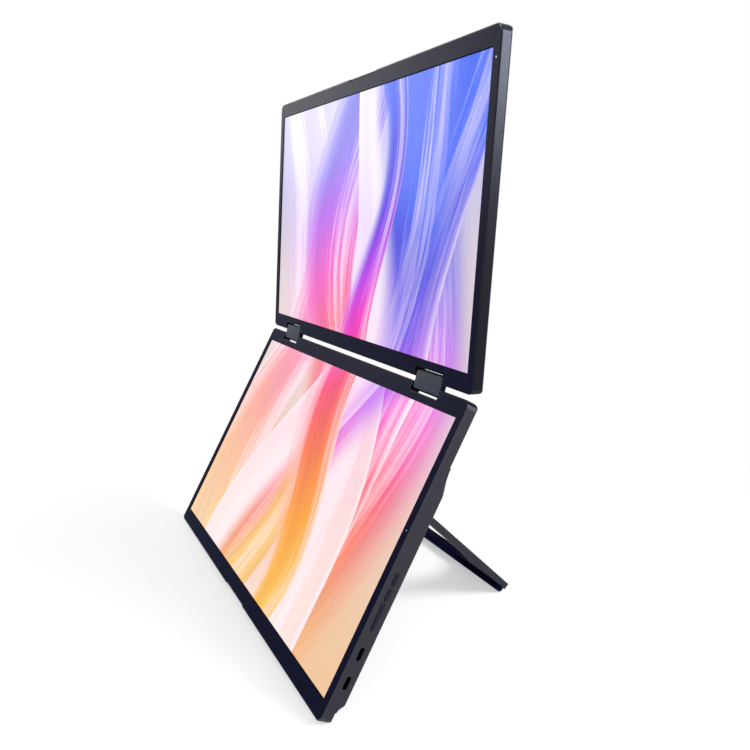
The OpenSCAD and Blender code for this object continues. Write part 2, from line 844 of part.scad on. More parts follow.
// Slots for the keys in the side wall, seen from the side
module key_slots(grow) {
    for (k = [[power_z, key_len], [menu_z, key_len], [rocker_z, rocker_len]])
        translate([side_y, k[0]]) rotate(90) slot(k[1] + 2 * grow, key_w + 2 * grow);
}

module socket_mouths(grow) {
    for (i = [0, 1]) translate([side_y, socket_z + i * socket_pitch]) rotate(90)
        slot(socket_w + 2 * grow, socket_h + 2 * grow);
}

// Vents above the stand's window, and speaker holes beside the arms
module back_openings() {
    along_y(bulge_floor_y - cut, bulge_t + cut) {
        for (i = [0 : vent_n - 1])
            translate([(i - (vent_n - 1) / 2) * vent_pitch, vent_z]) rotate(90)
                slot(vent_len, vent_w);
        for (s = [-1, 1], i = [0 : grille_cols - 1], j = [0 : grille_rows - 1])
            translate([s * speaker_x + (i - (grille_cols - 1) / 2) * grille_pitch,
                speaker_z + (j - (grille_rows - 1) / 2) * grille_pitch]) circle(grille_r);
    }
}

module board_standoffs() {
    for (p = board_posts) translate([p[0], 0, p[1]])
        bar_y(board_post_r, board_y + board_t, bulge_floor_y + wall / 2);
}

// Speaker's outline grown by rim, from depth y0 to y1
module speaker_block(rim, y0, y1) {
    along_y(y0, y1)
        square([speaker_size[0] + 2 * rim, speaker_size[2] + 2 * rim], center = true);
}

// Frames that hold the speakers
module speaker_frames() {
    for (s = [-1, 1]) translate([s * speaker_x, 0, speaker_z]) difference() {
        speaker_block(speaker_gap + speaker_rim, bulge_floor_y - speaker_frame_h, bulge_floor_y);
        speaker_block(speaker_gap, bulge_floor_y - speaker_frame_h - cut, bulge_floor_y + cut);
    }
}

// Posts that carry the key board
module key_board_posts() {
    for (z = [key_board_z0, key_board_z1 - key_post[1]])
        translate([switch_body_x0 - key_board_t - key_post[0], side_y - switch_h / 2, z])
            cube([key_post[0], bulge_floor_y - side_y + switch_h / 2, key_post[1]]);
}

// Recess and screw bosses for the stand's brackets
module stand_seats() {
    both_sides() for (x = bracket_boss_x) translate([x, 0, stand_axis_z])
        bar_y(bracket_boss_r, bulge_floor_y - bracket_boss_len, bulge_floor_y + wall / 2);
}

module stand_seat_cuts() {
    both_sides() {
        along_y(bulge_t - base_sink, bulge_t + cut)
            round_rect([bracket_boss_x[0] - base_wing / 2, stand_axis_z - base_h / 2],
                [bracket_boss_x[1] + base_wing / 2, stand_axis_z + base_h / 2], base_r);
        for (x = bracket_boss_x) translate([x, 0, stand_axis_z])
            bar_y(screw_r, bulge_t + screw_head_t - bracket_screw_len, bulge_t + cut);
    }
}

// Section of a bumper: round the bottom back corner
module bumper_section() {
    difference() {
        translate([bumper_y, bumper_z]) circle(bumper_r);
        translate([bumper_y, bumper_z]) circle(bumper_in_r);
        translate([bumper_y - 2 * bumper_r, bumper_z - 2 * bumper_r])
            square([2 * bumper_r - bumper_cut_y, 4 * bumper_r]);
        translate([bumper_y - 2 * bumper_r, bumper_z - 2 * bumper_r])
            square([4 * bumper_r, 2 * bumper_r - bumper_cut_z]);
    }
}

module corner_bumpers() {
    color(rubber) on_lower() both_sides()
        along_x(bumper_x0, bumper_x1) bumper_section();
}

// Back shell of the lower display
module lower_housing() {
    color(slate) on_lower() difference() {
        union() {
            difference() {
                lower_form();
                frame_seat();
                finger_scoop();
                along_y(frame_d - cut, floor_y) panel_outline(wall);
                intersection() {
                    along_y(frame_d - cut, bulge_floor_y) panel_outline(wall);
                    along_x(-panel_w, panel_w) bulge_section(wall);
                }
            }
            case_bosses();
            vesa_bosses();
            board_standoffs();
            speaker_frames();
            key_board_posts();
            stand_seats();
            tray_stops();
            tray_ribs(module_z0 + rib_end_gap, bulge_start, rib_places(lower_rib_n),
                floor_y + wall / 2);
            tray_ribs(vent_z + vent_len, bulge_end - rib_end_gap,
                [for (x = rib_places(lower_rib_n)) if (x < -vesa_plate_half - rib_t) x],
                bulge_floor_y + wall / 2);
            lower_bumper_seats();
        }
        both_sides() hinge_pocket();
        case_screw_holes();
        bracket_screw_holes();
        vesa_holes();
        stand_seat_cuts();
        back_openings();
        along_x(side_x - wall - cut, side_x + cut) {
            key_slots(key_gap);
            socket_mouths(socket_gap);
        }
        both_sides() along_x(bumper_x0, bumper_x1) bumper_section();
    }
}

// Solid corner that the bumpers are let into
module lower_bumper_seats() {
    both_sides() intersection() {
        lower_form();
        along_x(bumper_x0 - bumper_cheek, bumper_x1 + bumper_cheek)
            translate([frame_d, bumper_z - bumper_cut_z - wall])
            square([panel_t, corner_fillet + bumper_cut_z + wall + cut]);
    }
}

module lower_hinge_bracket_left() {
    on_lower() on_side(-1) hinge_bracket();
}

module lower_hinge_bracket_right() {
    on_lower() on_side(1) hinge_bracket();
}

module lower_screws() {
    on_lower() {
        case_screws();
        bracket_screws();
    }
}

// Controller board with its chips and connectors
module controller_board() {
    on_lower() {
        color(board_green) difference() {
            along_y(board_y, board_y + board_t) {
                translate([board_x0, board_z0]) square([board_x1 - board_x0, board_z1 - board_z0]);
                translate([board_x0, board_neck_z])
                    square([side_x - wall - 0.4 - board_x0, board_z1 - board_neck_z]);
            }
            for (p = board_posts) translate([p[0], 0, p[1]])
                bar_y(board_hole_r, board_y - cut, board_y + board_t + cut);
        }
        color(ink) for (c = board_chips)
            translate([c[0], board_y - c[4], c[1]]) cube([c[2], c[4], c[3]]);
        color(steel) for (i = [0 : coil_n - 1])
            translate([coil_at[0] + i * coil_pitch, 0, coil_at[1]])
                bar_y(coil_r, board_y - coil_t, board_y);
    }
}

// USB-C sockets: drawn shells with a tongue
module usb_c_sockets() {
    shell = 0.35;
    tongue = [6.6, 0.7];
    back = 0.8;
    tongue_back = 1.2;
    mouth_x = side_x - socket_sink;
    color(steel) on_lower() for (i = [0, 1])
        translate([0, side_y, socket_z + i * socket_pitch]) {
            difference() {
                along_x(mouth_x - socket_d, mouth_x) rotate(90) slot(socket_w, socket_h);
                along_x(mouth_x - socket_d + back, mouth_x + cut) rotate(90)
                    slot(socket_w - 2 * shell, socket_h - 2 * shell);
            }
            along_x(mouth_x - socket_d + back, mouth_x - tongue_back) rotate(90)
                square(tongue, center = true);
        }
}

// Board behind the keys
module button_board() {
    color(board_green) on_lower()
        translate([switch_body_x0 - key_board_t, side_y - switch_h / 2, key_board_z0])
            cube([key_board_t, key_board_w, key_board_z1 - key_board_z0]);
}

// Switches: one behind each key and two behind the rocker
module tact_switches() {
    color(steel) on_lower() for (z = switch_zs) translate([0, side_y, z]) {
        translate([switch_body_x0, -switch_h / 2, -switch_w / 2])
            cube([switch_t, switch_h, switch_w]);
        bar_x(plunger_r, switch_body_x0 + switch_t, switch_body_x0 + switch_t + plunger_len);
    }
}

// Key: cap in its slot, flange behind the wall and a stem towards the switch
module key(len, z, flange_face) {
    color(graphite) translate([0, side_y, z]) {
        along_x(flange_face - flange_t, cap_face_x) rotate(90) slot(len, key_w);
        along_x(flange_face - flange_t, flange_face) rotate(90)
            slot(len + 2 * flange_rim, key_w + 2 * flange_rim);
    }
}

module stem(z, flange_face) {
    color(graphite) translate([0, side_y, z])
        bar_x(stem_r, switch_body_x0 + switch_t + plunger_len + key_travel,
            flange_face - flange_t);
}

module power_button() {
    on_lower() {
        key(key_len, power_z, flange_x1);
        stem(power_z, flange_x1);
    }
}

module menu_button() {
    on_lower() {
        key(key_len, menu_z, flange_x1);
        stem(menu_z, flange_x1);
    }
}

module rocker_button() {
    on_lower() {
        key(rocker_len, rocker_z, rocker_flange_x1);
        for (z = [rocker_z - rocker_press, rocker_z + rocker_press])
            stem(z, rocker_flange_x1);
    }
}

// Box speaker with a raised cone surround
module speaker(side) {
    y0 = bulge_floor_y - speaker_size[1];
    color(ink) on_lower() on_side(side) translate([speaker_x, 0, speaker_z]) difference() {
        speaker_block(0, y0, bulge_floor_y);
        along_y(bulge_floor_y - cone_d, bulge_floor_y + cut) slot(cone[0], cone[1]);
    }
}

module speaker_left() {
    speaker(-1);
}

module speaker_right() {
    speaker(1);
}

// Bracket of the stand: base let into the back, two ears with a pin hole
module stand_bracket(side) {
    base_y = bulge_t - base_sink;
    color(graphite) on_lower() on_side(side) difference() {
        union() {
            along_y(base_y, base_y + base_t)
                round_rect([bracket_boss_x[0] - base_wing / 2, stand_axis_z - base_h / 2],
                    [bracket_boss_x[1] + base_wing / 2, stand_axis_z + base_h / 2], base_r);
            for (x = [arm_x - bracket_w / 2, arm_x + bracket_w / 2 - ear_t])
                along_x(x, x + ear_t) {
                    translate([base_y, stand_axis_z - ear_r])
                        square([stand_axis_y - base_y, 2 * ear_r]);
                    translate([stand_axis_y, stand_axis_z]) circle(ear_r);
                }
        }
        translate([0, stand_axis_y, stand_axis_z])
            bar_x(pin_r + run_gap, arm_x - bracket_w, arm_x + bracket_w);
        for (x = bracket_boss_x) translate([x, 0, stand_axis_z])
            bar_y(screw_r, base_y - cut, base_y + base_t + cut);
    }
}

module stand_bracket_left() {
    stand_bracket(-1);
}

module stand_bracket_right() {
    stand_bracket(1);
}

module stand_bracket_screws() {
    color(steel) on_lower() both_sides() for (x = bracket_boss_x)
        translate([x, 0, stand_axis_z]) screw_from_back(bulge_t + screw_head_t, bracket_screw_len);
}

// ---- Hinge blocks ----

// A bar of the block's width, from depth y0 to the block's back, h high, with round
// corners seen from the front and rounding r along its long edges
module block_bar(y0, h, r) {
    intersection() {
        along_x(-block_w / 2, block_w / 2) round_rect([y0, -h / 2], [block_t / 2, h / 2], r);
        along_y(y0, block_t / 2)
            round_rect([-block_w / 2, -h / 2], [block_w / 2, h / 2], block_end_r);
    }
}

// Block: a rounded bar with a raised face, and both shafts pressed into it
module hinge_block(side) {
    color(graphite) on_link() on_side(side) difference() {
        translate([block_x, 0, axis_pitch / 2]) intersection() {
            union() {
                block_bar(-block_t / 2 + block_face_t, block_h, block_r);
                block_bar(-block_t / 2, block_face_h, block_face_r);
            }
            along_z(-block_h / 2, block_h / 2)
                round_rect([-block_w / 2, -block_t / 2], [block_w / 2, block_t / 2], block_end_r);
        }
        for (z = [0, axis_pitch]) translate([0, 0, z])
            bar_x(shaft_r, block_x - block_w, shaft_x1);
    }
}

module hinge_block_left() {
    hinge_block(-1);
}

module hinge_block_right() {
    hinge_block(1);
}

module shaft_pair(z) {
    color(steel) on_link() both_sides() translate([0, 0, z]) bar_x(shaft_r, shaft_x0, shaft_x1);
}

module lower_hinge_shafts() {
    shaft_pair(0);
}

module upper_hinge_shafts() {
    shaft_pair(axis_pitch);
}

// Spring washers that press against the knuckles
module friction_washers() {
    color(brass) on_link() both_sides() for (z = [0, axis_pitch], i = [0 : washer_n - 1])
        translate([washer_x0 + i * washer_t, 0, z]) difference() {
            bar_x(washer_r - 0.1 * (i % 2), 0, washer_t);
            bar_x(shaft_r, -cut, washer_t + cut);
        }
}

// Nuts that set the friction
module shaft_nuts() {
    color(steel) on_link() both_sides() for (z = [0, axis_pitch])
        translate([nut_x0, 0, z]) difference() {
            rotate([0, 90, 0]) cylinder(r = washer_r, h = nut_t, $fn = 6);
            bar_x(shaft_r, -cut, nut_t + cut);
        }
}

// ---- Upper display ----

module upper_bezel() {
    color(ink) on_upper() bezel(upper_light_z);
}

module upper_screen() {
    color([0.70, 0.66, 0.90]) on_upper() screen();
}

module upper_backlight() {
    color(steel) on_upper() backlight();
}

module upper_driver_board() {
    on_upper() driver_board();
}

module upper_status_light() {
    on_upper() status_light(upper_light_z);
}

// Back shell of the upper display
module upper_housing() {
    color(slate) on_upper() difference() {
        union() {
            difference() {
                panel_slab(panel_t);
                frame_seat();
                finger_scoop();
                along_y(frame_d - cut, floor_y) panel_outline(wall);
            }
            case_bosses();
            tray_stops();
            tray_ribs(module_z0 + rib_end_gap, driver_z0 - rib_end_gap,
                rib_places(upper_rib_n), floor_y + wall / 2);
        }
        both_sides() hinge_pocket();
        case_screw_holes();
        bracket_screw_holes();
    }
}

module upper_hinge_bracket_left() {
    on_upper() on_side(-1) hinge_bracket();
}

module upper_hinge_bracket_right() {
    on_upper() on_side(1) hinge_bracket();
}

module upper_screws() {
    on_upper() {
        case_screws();
        bracket_screws();
    }
}

// ---- Stand ----

// Outline of the U-shaped frame in (x, z), below its axis
module stand_outline() {
    tip_r = stand_tip_r;
    inner = stand_w / 2 - arm_w;
    difference() {
        union() {
            translate([-stand_w / 2, -stand_len + tip_r]) square([stand_w, stand_len - tip_r]);
            translate([-stand_w / 2 + tip_r, -stand_len]) square([stand_w - 2 * tip_r, stand_len]);
            for (s = [-1, 1]) translate([s * (stand_w / 2 - tip_r), -stand_len + tip_r])
                circle(tip_r);
        }
        translate([-inner, -stand_len + bar_w + window_r])
            square([2 * inner, stand_len + cut]);
        translate([-inner + window_r, -stand_len + bar_w])
            square([2 * (inner - window_r), stand_len + cut]);
        for (s = [-1, 1]) translate([s * (inner - window_r), -stand_len + bar_w + window_r])
            circle(window_r, $fn = 128);
    }
}

// Foot strip: section in (depth, z), with its tongue in the bar
module foot_section() {
    round_rect([-foot_in, -foot_end], [-arm_t / 2 + foot_r, -foot_end + foot_w], foot_r);
}

module foot_body() {
    along_x(-foot_half, foot_half) intersection() {
        foot_section();
        translate([-foot_in - cut, -stand_len]) square([foot_in + cut - arm_t / 2, stand_len]);
    }
    along_x(-foot_half + tongue_inset_x, foot_half - tongue_inset_x)
        translate([-arm_t / 2, -foot_end + (foot_w - tongue_w) / 2])
        square([foot_tongue, tongue_w]);
}

// U-shaped frame with knuckles at the ends of its arms
module stand_frame() {
    color(graphite) on_stand() difference() {
        intersection() {
            union() {
                along_y(-arm_t / 2, arm_t / 2) stand_outline();
                both_sides() bar_x(arm_t / 2, arm_x - arm_w / 2, arm_x + arm_w / 2);
            }
            along_z(-stand_len, arm_t)
                round_rect([-stand_w / 2, -arm_t / 2], [stand_w / 2, arm_t / 2], stand_edge_r);
            along_x(-stand_w / 2, stand_w / 2)
                round_rect([-arm_t / 2, -stand_len], [arm_t / 2, arm_t], stand_edge_r);
        }
        both_sides() bar_x(pin_r, arm_x - arm_w, arm_x + arm_w);
        along_x(-foot_half + tongue_inset_x, foot_half - tongue_inset_x)
            translate([-arm_t / 2 - cut, -foot_end + (foot_w - tongue_w) / 2])
            square([foot_tongue + cut, tongue_w]);
    }
}

module stand_foot() {
    color(rubber) on_stand() foot_body();
}

module stand_pins() {
    color(steel) on_stand() both_sides() bar_x(pin_r, pin_x0, pin_x1);
}

lower_bezel();
lower_screen();
lower_backlight();
lower_driver_board();
lower_housing();
lower_hinge_bracket_left();
lower_hinge_bracket_right();
lower_status_light();
lower_screws();
controller_board();
usb_c_sockets();
button_board();
tact_switches();
speaker_left();
speaker_right();
vesa_plate();
vesa_inserts();
vesa_plate_screws();
corner_bumpers();
stand_bracket_left();
stand_bracket_right();
stand_bracket_screws();
power_button();
menu_button();
rocker_button();
hinge_block_left();
hinge_block_right();
lower_hinge_shafts();
upper_hinge_shafts();
friction_washers();
shaft_nuts();
upper_bezel();
upper_screen();
upper_backlight();
upper_driver_board();
upper_housing();
upper_hinge_bracket_left();
upper_hinge_bracket_right();
upper_status_light();
upper_screws();
stand_frame();
stand_foot();
stand_pins();
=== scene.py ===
# %% [markdown]
# # A screen extender for a laptop, dressed for the studio
# Two thin displays stand one above the other on a fold-out stand. The solids come from the
# CAD model as a fixed frame. This file gives them their finishes, adds the small things that
# are easier to make as meshes, and sets up the floor, the lamps and the camera.

# %% Load the frame
import json
import math

import bmesh
import bpy
from mathutils import Matrix, Vector


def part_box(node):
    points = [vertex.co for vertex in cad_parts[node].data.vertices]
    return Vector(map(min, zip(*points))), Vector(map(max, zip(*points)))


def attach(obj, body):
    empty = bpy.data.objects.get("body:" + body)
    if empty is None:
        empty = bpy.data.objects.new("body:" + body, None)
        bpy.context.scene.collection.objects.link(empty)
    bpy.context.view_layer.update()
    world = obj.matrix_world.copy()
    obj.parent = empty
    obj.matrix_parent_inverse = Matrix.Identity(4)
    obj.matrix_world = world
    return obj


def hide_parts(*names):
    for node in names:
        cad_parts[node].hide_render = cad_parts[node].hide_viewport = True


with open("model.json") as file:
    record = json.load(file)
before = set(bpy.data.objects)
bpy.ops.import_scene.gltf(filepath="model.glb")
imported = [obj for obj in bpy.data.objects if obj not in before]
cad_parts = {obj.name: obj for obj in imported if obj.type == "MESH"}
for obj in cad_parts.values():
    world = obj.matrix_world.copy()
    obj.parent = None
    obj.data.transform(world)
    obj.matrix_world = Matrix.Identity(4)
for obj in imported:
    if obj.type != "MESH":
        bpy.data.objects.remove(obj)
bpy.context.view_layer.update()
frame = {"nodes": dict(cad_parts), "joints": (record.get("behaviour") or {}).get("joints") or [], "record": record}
nodes = frame["nodes"]
MM = 0.001

# %% [markdown]
# ## Where the two panels lie
# Each display is a flat slab that leans back. A pattern on its front, and a key in its side,
# have to follow that lean, so it's worked out here once. The threaded standoffs in the back of
# the lower display point straight out of it, and the line between the two hinge axes halves
# the angle between the displays. Both facts are in the frame's record. Only two measures of
# the hinges are written out: how deep the axes lie, and how far in from the displays' edges.
# In a display's own space X runs to the right, Y into it and Z up along its front, and the
# origin is in the middle of its hinge edge. The hinge blocks and the stand have such a space
# too, with the origin on an axis. A helper measures a CAD solid in any of them.

# %% Leans of the displays, and a space for each
joints = {j["name"]: j for j in frame["joints"]}
mounts = {m["name"]: m for m in frame["record"]["mounts"]}
back_axis = Vector(mounts["vesa_lower_left"]["axis"])
lower_axis = Vector(joints["lower_hinge"]["pos_m"])
upper_axis = Vector(joints["upper_hinge"]["pos_m"])
link = upper_axis - lower_axis
link_lean = math.atan2(link.y, link.z)
lower_lean = math.atan2(-back_axis.z, back_axis.y)
upper_lean = 2 * link_lean - lower_lean
AXIS_DEPTH = 3.3 * MM
AXIS_INSET = 2.8 * MM


def display_space(lean, axis, inset):
    """The matrix that takes a display's own space to the frame."""
    return (
        Matrix.Translation(axis)
        @ Matrix.Rotation(-lean, 4, "X")
        @ Matrix.Translation((0, -AXIS_DEPTH, inset))
    )


lower_space = display_space(lower_lean, lower_axis, AXIS_INSET)
upper_space = display_space(upper_lean, upper_axis, -AXIS_INSET)
link_space = Matrix.Translation(lower_axis) @ Matrix.Rotation(-link_lean, 4, "X")
stand = joints["stand_hinge"]
stand_swing = -math.radians(stand["range_deg"][0]) - lower_lean
stand_space = Matrix.Translation(stand["pos_m"]) @ Matrix.Rotation(stand_swing, 4, "X")


def extent(name, space):
    """The lowest and highest corner of a CAD node, measured in another space."""
    back = space.inverted()
    corners = [back @ vertex.co for vertex in nodes[name].data.vertices]
    low = Vector(min(corner[i] for corner in corners) for i in range(3))
    high = Vector(max(corner[i] for corner in corners) for i in range(3))
    return low, high


print("lean in degrees:", [round(math.degrees(lean), 2) for lean in (lower_lean, upper_lean)])

# %% [markdown]
# ## Camera
# The displays are seen from their right, a little above the hinge, with a fairly wide lens, so
# the near side is clearly larger than the far one. The camera is also rolled by a few degrees.
# It's aimed with a look-at rotation and then rolled about its own axis.

# %% Camera
CAMERA_AT = Vector((0.5439, -0.2120, 0.3217))
LOOKS_AT = Vector((-0.0005, 0.0554, 0.1614))
CAMERA_ROLL = math.radians(-5.58)
LENS = 35.0
NEAREST_SEEN = 10 * MM

bpy.ops.object.camera_add(location=CAMERA_AT)
camera = bpy.context.object
camera.data.lens = LENS
camera.data.clip_start = NEAREST_SEEN
aim = (LOOKS_AT - CAMERA_AT).to_track_quat("-Z", "Y").to_matrix()
camera.rotation_euler = (aim @ Matrix.Rotation(CAMERA_ROLL, 3, "Z")).to_euler()
bpy.context.scene.camera = camera
bpy.context.scene.view_settings.view_transform = "Standard"
print("camera is", round((LOOKS_AT - CAMERA_AT).length, 3), "m from what it looks at")

# %% [markdown]
# ## Helpers for node trees
# Every finish here is a small graph of nodes. Built by hand in the shader editor, each node
# takes a few clicks. In code the same step is one line, once there are helpers that add a
# node, fill its inputs with a value or a link, and hand it back.


# %% Helpers for node trees
def new_material(name):
    """An empty node material, returned with its node tree."""
    material = bpy.data.materials.new(name)
    material.use_nodes = True
    material.node_tree.nodes.clear()
    return material, material.node_tree


def plug(tree, socket, value):
    """Links a socket to an input, or writes a plain value into it."""
    if isinstance(value, bpy.types.NodeSocket):
        tree.links.new(value, socket)
    else:
        socket.default_value = value


def add(tree, kind, **inputs):
    """Adds a node. Inputs go by name, with _ for a space, or by number as i0, i1 and so on."""
    node = tree.nodes.new(kind)
    for key, value in inputs.items():
        by_number = key[0] == "i" and key[1:].isdigit()
        which = int(key[1:]) if by_number else key.replace("_", " ")
        plug(tree, node.inputs[which], value)
    return node


def calc(tree, operation, a, b=0.0, c=0.0):
    """The result of a Math node."""
    node = add(tree, "ShaderNodeMath", i0=a, i1=b, i2=c)
    node.operation = operation
    return node.outputs[0]


def blend(tree, share, a, b):
    """Colour a, with a share of colour b."""
    node = tree.nodes.new("ShaderNodeMix")
    node.data_type = "RGBA"
    plug(tree, node.inputs[0], share)
    plug(tree, node.inputs[6], a)
    plug(tree, node.inputs[7], b)
    return node.outputs[2]


def ease(tree, value, low, high):
    """0 below low, 1 above high, and a soft step between them."""
    node = add(tree, "ShaderNodeMapRange", Value=value, From_Min=low, From_Max=high)
    node.interpolation_type = "SMOOTHSTEP"
    return node.outputs["Result"]


def along(tree, at, space, way):
    """How far a point lies from a space's origin, along one of its directions."""
    way = space.to_3x3() @ Vector(way)
    dot = add(tree, "ShaderNodeVectorMath", i0=at, i1=tuple(way))
    dot.operation = "DOT_PRODUCT"
    return calc(tree, "SUBTRACT", dot.outputs["Value"], way.dot(space.translation))


def linear(share):
    """A screen value from 0 to 1, as an amount of light."""
    return share / 12.92 if share <= 0.04045 else ((share + 0.055) / 1.055) ** 2.4


def srgb(*screen_values):
    """A colour written as 0-255 screen values, as the linear colour that a shader wants."""
    return tuple(linear(value / 255) for value in screen_values) + (1.0,)


def seen_ray(tree):
    """1 for rays that show a background: straight, reflected or through glass."""
    path = tree.nodes.new("ShaderNodeLightPath").outputs
    seen = calc(tree, "MAXIMUM", path["Is Camera Ray"], path["Is Glossy Ray"])
    return calc(tree, "MAXIMUM", seen, path["Is Transmission Ray"])


print("a mid grey is", round(srgb(128, 128, 128)[0], 3), "in linear light")

# %% [markdown]
# ## Floor and light
# A product picture wants a floor that fades into white. The floor is a wide pale disc. Near
# the object it's partly a plain matte surface, which catches a soft shadow, and further out
# it turns into the same white as the world behind it, so no horizon shows. That white is only
# for rays that the camera, a gloss or a glass sends out. The light that falls on the object
# is separate: an even share from the world, and three square lamps.

# %% World
WORLD_LIGHT = 0.6
WHITE = (1, 1, 1, 1)
world = bpy.data.worlds.new("studio")
bpy.context.scene.world = world
world.use_nodes = True
world.node_tree.nodes.clear()
wt = world.node_tree
light_level = calc(wt, "MULTIPLY_ADD", seen_ray(wt), 1 - WORLD_LIGHT, WORLD_LIGHT)
sky = add(wt, "ShaderNodeBackground", Color=WHITE, Strength=light_level)
add(wt, "ShaderNodeOutputWorld", Surface=sky.outputs[0])
print("world lights with", WORLD_LIGHT, "and shows as 1")

# %% Floor
FLOOR_R = 6.0
FADE_FROM = 0.10
FADE_TO = 0.46
NEAR_WHITE = 0.45
PAPER = (0.92, 0.92, 0.92, 1)
bpy.ops.object.select_all(action="DESELECT")
bpy.ops.mesh.primitive_circle_add(vertices=96, radius=FLOOR_R, fill_type="NGON")
floor = bpy.context.object
floor.name = "floor"
floor_finish, ft = new_material("floor_paper")
place = add(ft, "ShaderNodeTexCoord").outputs["Object"]
distance = add(ft, "ShaderNodeVectorMath", i0=place)
distance.operation = "LENGTH"
fade = ease(ft, distance.outputs["Value"], FADE_FROM, FADE_TO)
paper = add(ft, "ShaderNodeBsdfDiffuse", Color=PAPER, Roughness=1.0).outputs[0]
white = add(ft, "ShaderNodeEmission", Color=WHITE, Strength=1.0).outputs[0]
white_level = calc(ft, "MULTIPLY_ADD", fade, 1 - NEAR_WHITE, NEAR_WHITE)
white_share = calc(ft, "MULTIPLY", white_level, seen_ray(ft))
floor_mix = add(ft, "ShaderNodeMixShader", i0=white_share, i1=paper, i2=white)
add(ft, "ShaderNodeOutputMaterial", Surface=floor_mix.outputs[0])
floor.data.materials.append(floor_finish)
print("floor is white beyond", FADE_TO, "m")


# %% Lamps
LAMPS_FACE = Vector((0, 0.03, 0.2))


def soft_box(name, at, size, watts):
    """A square lamp that faces the middle of the displays."""
    bpy.ops.object.light_add(type="AREA", location=at)
    lamp = bpy.context.object
    lamp.name = name
    lamp.data.size = size
    lamp.data.energy = watts
    lamp.rotation_euler = (LAMPS_FACE - Vector(at)).to_track_quat("-Z", "Y").to_euler()
    print(name, watts, "W")


soft_box("key", (-0.80, -0.32, 0.68), size=0.5, watts=7)
soft_box("fill", (1.5, -0.5, 0.9), size=0.8, watts=4)
soft_box("rim", (0.79, 0.56, 0.59), size=0.36, watts=11)

# %% [markdown]
# ## Finishes
# The front frames are black-blue moulded plastic with a fine matt texture. The shells are
# die-cast metal, blasted and anodised dark grey. Both are almost even from a distance, so
# their life comes from a fine grain in the bump, from cloudy changes in roughness, and from a
# faint shift of colour over several centimetres. One function makes them all from a colour, a
# roughness and the size of the grain. The colour and the share of metal can also be functions
# that draw them with nodes, for a piece that isn't the same all over.


# %% Grained surfaces
CLOUDS_PER_M = 22.0
GLOSS_SWING = 0.08
GRAIN_OVER_RELIEF = 3


def skin_of(tree, **inputs):
    """A surface shader with these inputs, linked to the material's output."""
    skin = add(tree, "ShaderNodeBsdfPrincipled", **inputs)
    add(tree, "ShaderNodeOutputMaterial", Surface=skin.outputs[0])


def noise(tree, at, scale, detail, **inputs):
    """The grey values of a noise."""
    node = add(tree, "ShaderNodeTexNoise", Vector=at, Scale=scale, Detail=detail, **inputs)
    return node.outputs["Fac"]


def grained(
    name, colour, rough, metal=0.0, grain=0.12, bump=0.25, cloud=0.06, spec=0.5, speck=0.0
):
    """A surface with a fine grain (its size in mm), and cloudy colour and roughness."""
    material, tree = new_material(name)
    at = add(tree, "ShaderNodeTexCoord").outputs["Object"]
    size = grain * MM
    fine = noise(tree, at, scale=1 / size, detail=2.0, Roughness=0.6)
    clouds = noise(tree, at, scale=CLOUDS_PER_M, detail=3.0)
    shade = calc(tree, "MULTIPLY_ADD", clouds, 2 * cloud, 1 - cloud)
    shade = calc(tree, "MULTIPLY_ADD", calc(tree, "SUBTRACT", fine, 0.5), speck, shade)
    base = colour(tree, at) if callable(colour) else colour[:3]
    tint = add(tree, "ShaderNodeVectorMath", i0=base, i1=shade)
    tint.operation = "MULTIPLY"
    relief = add(
        tree, "ShaderNodeBump", Strength=bump, Distance=size / GRAIN_OVER_RELIEF, Height=fine
    )
    skin_of(
        tree,
        Base_Color=tint.outputs[0],
        Roughness=calc(tree, "MULTIPLY_ADD", fine, GLOSS_SWING, rough - GLOSS_SWING / 2),
        Metallic=metal(tree, at) if callable(metal) else metal,
        Normal=relief.outputs[0],
        Specular_IOR_Level=spec,
    )
    return material


FRAME_BLACK = srgb(14, 16, 38)
finishes = {
    "frame_plastic": grained("frame_plastic", FRAME_BLACK, 0.38, spec=0.008),
    "light_tray": grained("light_tray", srgb(226, 228, 232), 0.6, bump=0.1),
    "circuit_board": grained("circuit_board", srgb(22, 92, 66), 0.38, bump=0.15, cloud=0.12),
    "light_guide": grained("light_guide", srgb(120, 126, 140), 0.2, bump=0.02),
    "speaker_plastic": grained("speaker_plastic", srgb(28, 28, 31), 0.6),
    "insert_brass": grained("insert_brass", srgb(214, 178, 104), 0.3, metal=1.0, bump=0.1),
    "rubber": grained("rubber", srgb(15, 18, 48), 0.78, grain=0.25, bump=0.45, spec=0.02),
    # Near black: the hinge bars' dark moulding, with painted shade on their rounded edges
    "hinge_metal": grained("hinge_metal", srgb(13, 14, 20), 0.5, grain=0.15, bump=0.3, spec=0.1),
    "key_plastic": grained("key_plastic", srgb(38, 38, 49), 0.42, metal=0.3, spec=0.1),
    "steel": grained("steel", srgb(186, 188, 192), 0.3, metal=1.0, bump=0.12),
}
print("finishes:", len(finishes))

# %% [markdown]
# ## Metal with painted shade
# The shells are the same dark metal all over, except along the hinge edge. There a band round
# the rim and the notches is painted black as shade, so no bright line of metal shows between
# a display and its hinge blocks. The stand is metal outside, and the side that folds onto the
# shell and the inner edges of its window are painted black-blue as shade. Each is one solid,
# so its colour and its share of metal change by place: a test in its own space gives 1 where
# it's black.


# %% Metal that is black where a test says so
def two_tone(name, metal_colour, black, painted_shade_part, rough, metal, spec):
    """A metal finish with a part painted black as shade, given by a function that draws where it is."""

    def colour(tree, at):
        return blend(tree, painted_shade_part(tree, at), metal_colour, black)

    def share_of_metal(tree, at):
        return calc(tree, "MULTIPLY_ADD", painted_shade_part(tree, at), -metal, metal)

    return grained(
        name, colour, rough, metal=share_of_metal, grain=0.1, bump=0.3, speck=0.5, spec=spec
    )


def all_true(tree, first, *others):
    """1 where every share is 1."""
    for share in others:
        first = calc(tree, "MULTIPLY", first, share)
    return first


